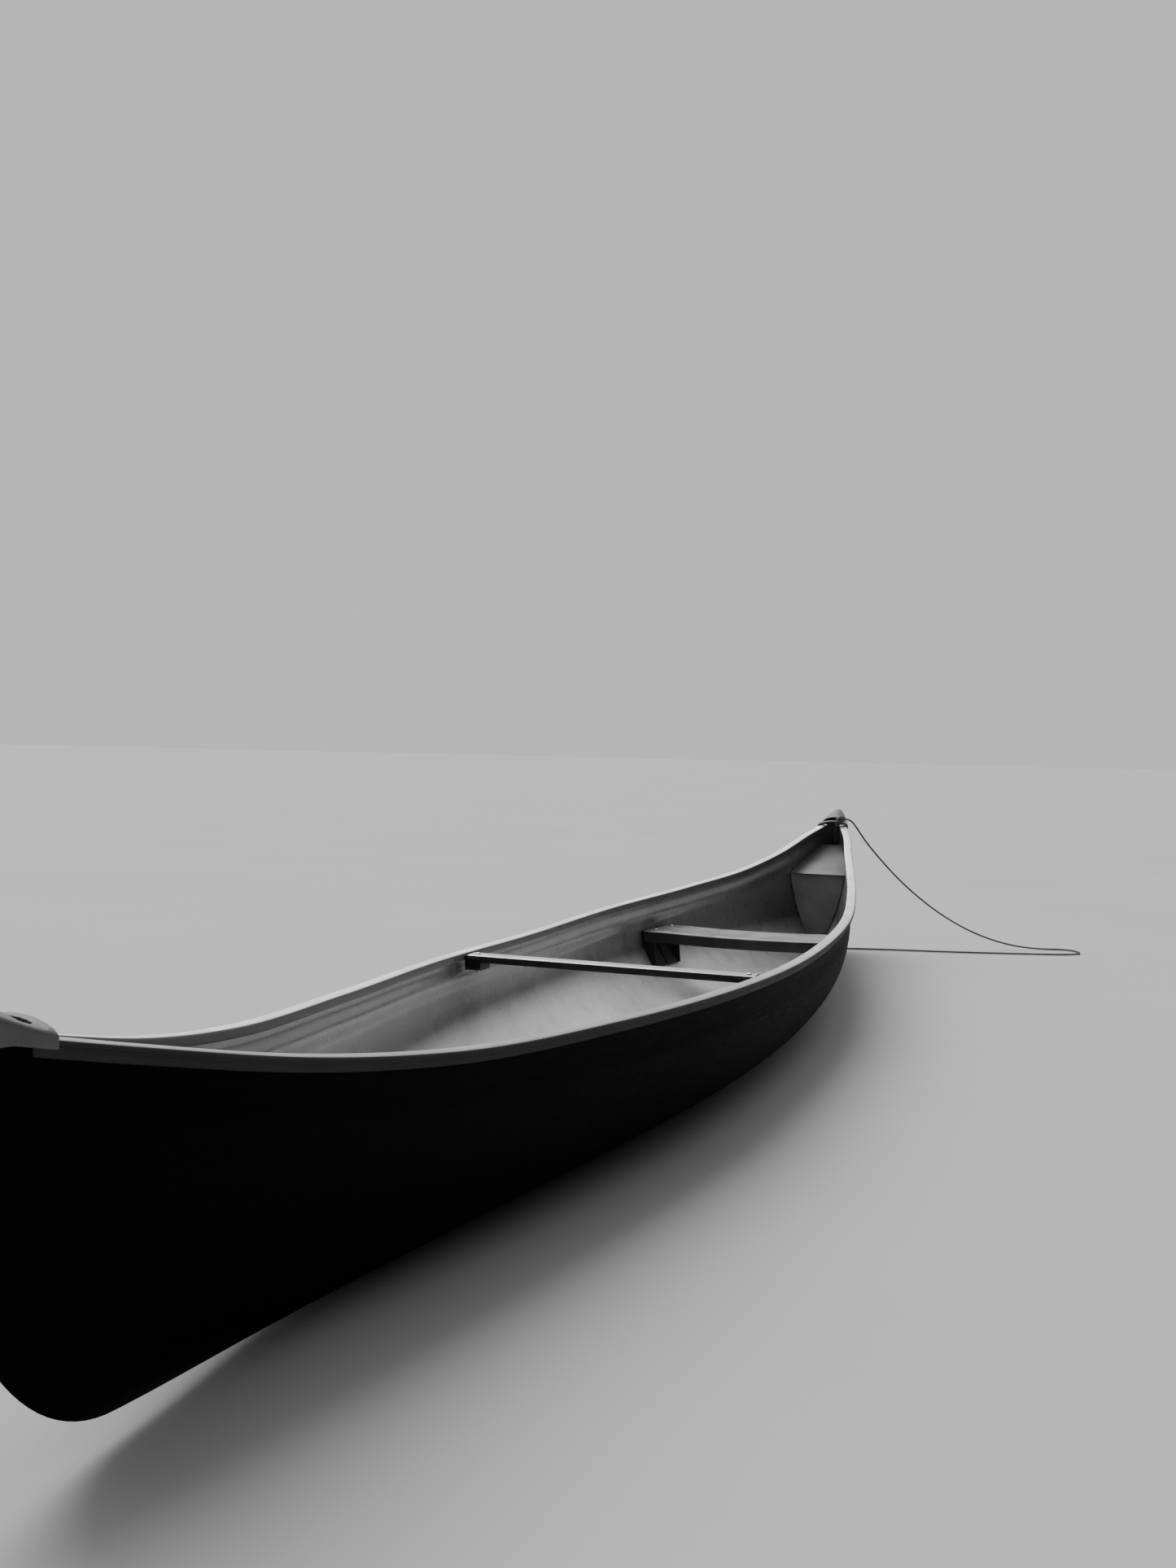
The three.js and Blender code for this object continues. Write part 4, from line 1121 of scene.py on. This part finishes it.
def rope_look():
    """Weathered three-strand rope: fibres along the strands, dark in the grooves."""
    made, shader = principled("rope_fibre", (0.2, 0.2, 0.2), 0.88, specular=0.2)
    fibres = noise(made, coordinates(made, (700, 260, 1), "UV"), 2, 4)
    cloud = noise(made, coordinates(made, (1, 1, 1)), 18, 3)
    tone = ramp(made, cloud, [(0.3, 0.13), (0.7, 0.21)])
    threads = ramp(made, fibres, [(0.3, 0.62), (0.7, 1.0)])
    link(made, mixed(made, "MULTIPLY", tone, threads, 0.85), shader.inputs["Base Color"])
    bump(made, shader, fibres, 0.35, 0.0006)
    return made


# ---------------------------------------------------------------- floor and light


def floor_look():
    made, shader = principled("pale_floor", (0.48, 0.48, 0.48), 0.85, specular=0.1)
    cloud = noise(made, coordinates(made, (1, 1, 1)), 0.8, 3)
    link(made, ramp(made, cloud, [(0.3, 0.47), (0.7, 0.49)]), shader.inputs["Base Color"])
    return made


def make_floor():
    half = 90
    floor = new_object("studio_floor", [(-half, -half, 0), (half, -half, 0), (half, half, 0),
                                        (-half, half, 0)], [(0, 1, 2, 3)], smooth=False)
    floor.location.z = -0.0005
    floor.data.materials.append(floor_look())


def sun_light(name, from_place, strength, angle):
    data = bpy.data.lights.new(name, "SUN")
    data.energy = strength
    data.angle = math.radians(angle)
    light = bpy.data.objects.new(name, data)
    light.rotation_euler = (-Vector(from_place)).to_track_quat("-Z", "Y").to_euler()
    bpy.context.scene.collection.objects.link(light)


BRIGHT_SIDE = (0.64, 0.30, 0.71)
SKY_LOW = 0.03
SKY_HIGH = 1.1
BACKDROP = 0.66


def make_light():
    """Soft light from ahead, above and to port. The backdrop itself is one pale grey."""
    world = bpy.data.worlds.new("studio")
    world.use_nodes = True
    tree = world.node_tree
    nodes = tree.nodes
    place = nodes.new("ShaderNodeTexCoord")
    towards = nodes.new("ShaderNodeVectorMath")
    towards.operation = "DOT_PRODUCT"
    towards.inputs[1].default_value = BRIGHT_SIDE
    tree.links.new(place.outputs["Generated"], towards.inputs[0])
    spread = nodes.new("ShaderNodeMapRange")
    spread.interpolation_type = "SMOOTHSTEP"
    for key, value in (("From Min", 0.0), ("From Max", 1.0), ("To Min", SKY_LOW), ("To Max", SKY_HIGH)):
        spread.inputs[key].default_value = value
    tree.links.new(towards.outputs["Value"], spread.inputs["Value"])
    soft = nodes["Background"]
    soft.inputs["Color"].default_value = (1, 1, 1, 1)
    tree.links.new(spread.outputs["Result"], soft.inputs["Strength"])
    plain = nodes.new("ShaderNodeBackground")
    plain.inputs["Color"].default_value = (1, 1, 1, 1)
    plain.inputs["Strength"].default_value = BACKDROP
    path = nodes.new("ShaderNodeLightPath")
    choose = nodes.new("ShaderNodeMixShader")
    tree.links.new(path.outputs["Is Camera Ray"], choose.inputs["Fac"])
    tree.links.new(soft.outputs["Background"], choose.inputs[1])
    tree.links.new(plain.outputs["Background"], choose.inputs[2])
    tree.links.new(choose.outputs["Shader"], nodes["World Output"].inputs["Surface"])
    bpy.context.scene.world = world
    sun_light("soft_sun", (0.40, 0.50, 0.95), 3.2, 50)


# ---------------------------------------------------------------- assembly

make_camera()
LOOKS = {
    "hull_outside": hull_outside_look(),
    "hull_inside": hull_inside_look(),
    # Both rails are one aluminium: port is the painted lit copy, starboard the painted shaded copy,
    # much darker toward the stern.
    "aluminium_port": aluminium_look("lit_drawn_aluminium", 0.86, 0.97, 0.36, 0.90),
    "aluminium_starboard": aluminium_look("shaded_drawn_aluminium", 0.80, 0.94, 0.42, 0.32),
    # Painted shade: dark grey for the aluminium rail's inner faces.
    "rail_inner": plastic_look("rail_inner_shaded_grey", 0.08, 0.13, 0.5, 90, 0.05, 0.3),
    "thwart_top": aluminium_look("thwart_aluminium", 0.34, 0.45, 0.42),
    # Painted shade: near black for the aluminium rail's outer faces.
    "rail_side": plastic_look("rail_side_shaded_dark", 0.022, 0.034, 0.6, 90, 0.05, 0.2),
    "cap": plastic_look("cap_plastic", 0.078, 0.118, 0.5, 260, 0.12),
    "seat": plastic_look("seat_plastic", 0.13, 0.25, 0.34, 220, 0.18),
    # Painted shade: near black for the sides of the seats and the thwart.
    "seat_side": plastic_look("side_painted_shade", 0.02, 0.038, 0.5, 220, 0.1, 0.3),
    "bulkhead": plastic_look("bulkhead_grey", 0.33, 0.47, 0.5, 120, 0.1),
    "panel": plastic_look("tank_panel", 0.095, 0.17, 0.42, 120, 0.1),
    # Dark fittings; their near black is partly painted shade under the seat's and thwart's ends.
    "bracket": plastic_look("bracket_black_and_shade", 0.010, 0.018, 0.55, 300, 0.1, 0.2),
    "steel": steel_look(),
    "rope": rope_look(),
}
painter_length = make_painter()
print("painter length", round(painter_length, 4))
make_hull()
for side, name in ((1, "port"), (-1, "starboard")):
    gunwale(side, name)
CAP_MESH = cap_mesh()
for end, (_, _, turn) in SEATS.items():
    end_cap(CAP_MESH, end, turn)
    bench(end)
    for part, look in (("bulkhead", "bulkhead"), ("tank_top", "panel")):
        panel = softened(f"{end}_{part}", f"{end}_{part}_panel", 0.8 * MM)
        finish_piece(panel, [LOOKS[look]], [f"{end}_{part}"])
for name in sorted(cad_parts):
    if "bolt" in name:
        bolt(name)
    elif "bracket" in name or "socket" in name:
        piece = softened(name, f"{name}_moulding", 0.7 * MM)
        finish_piece(piece, [LOOKS["bracket"]], [name])
beam = softened("thwart", "thwart_beam", 0.8 * MM)
# Painted shade: the thwart's top keeps its metal look, its sides go near black.
for polygon in beam.data.polygons:
    polygon.material_index = 0 if polygon.normal.z > LIT_TOP_FACE else 1
finish_piece(beam, [LOOKS["thwart_top"], LOOKS["seat_side"]], ["thwart"])
make_floor()
make_light()
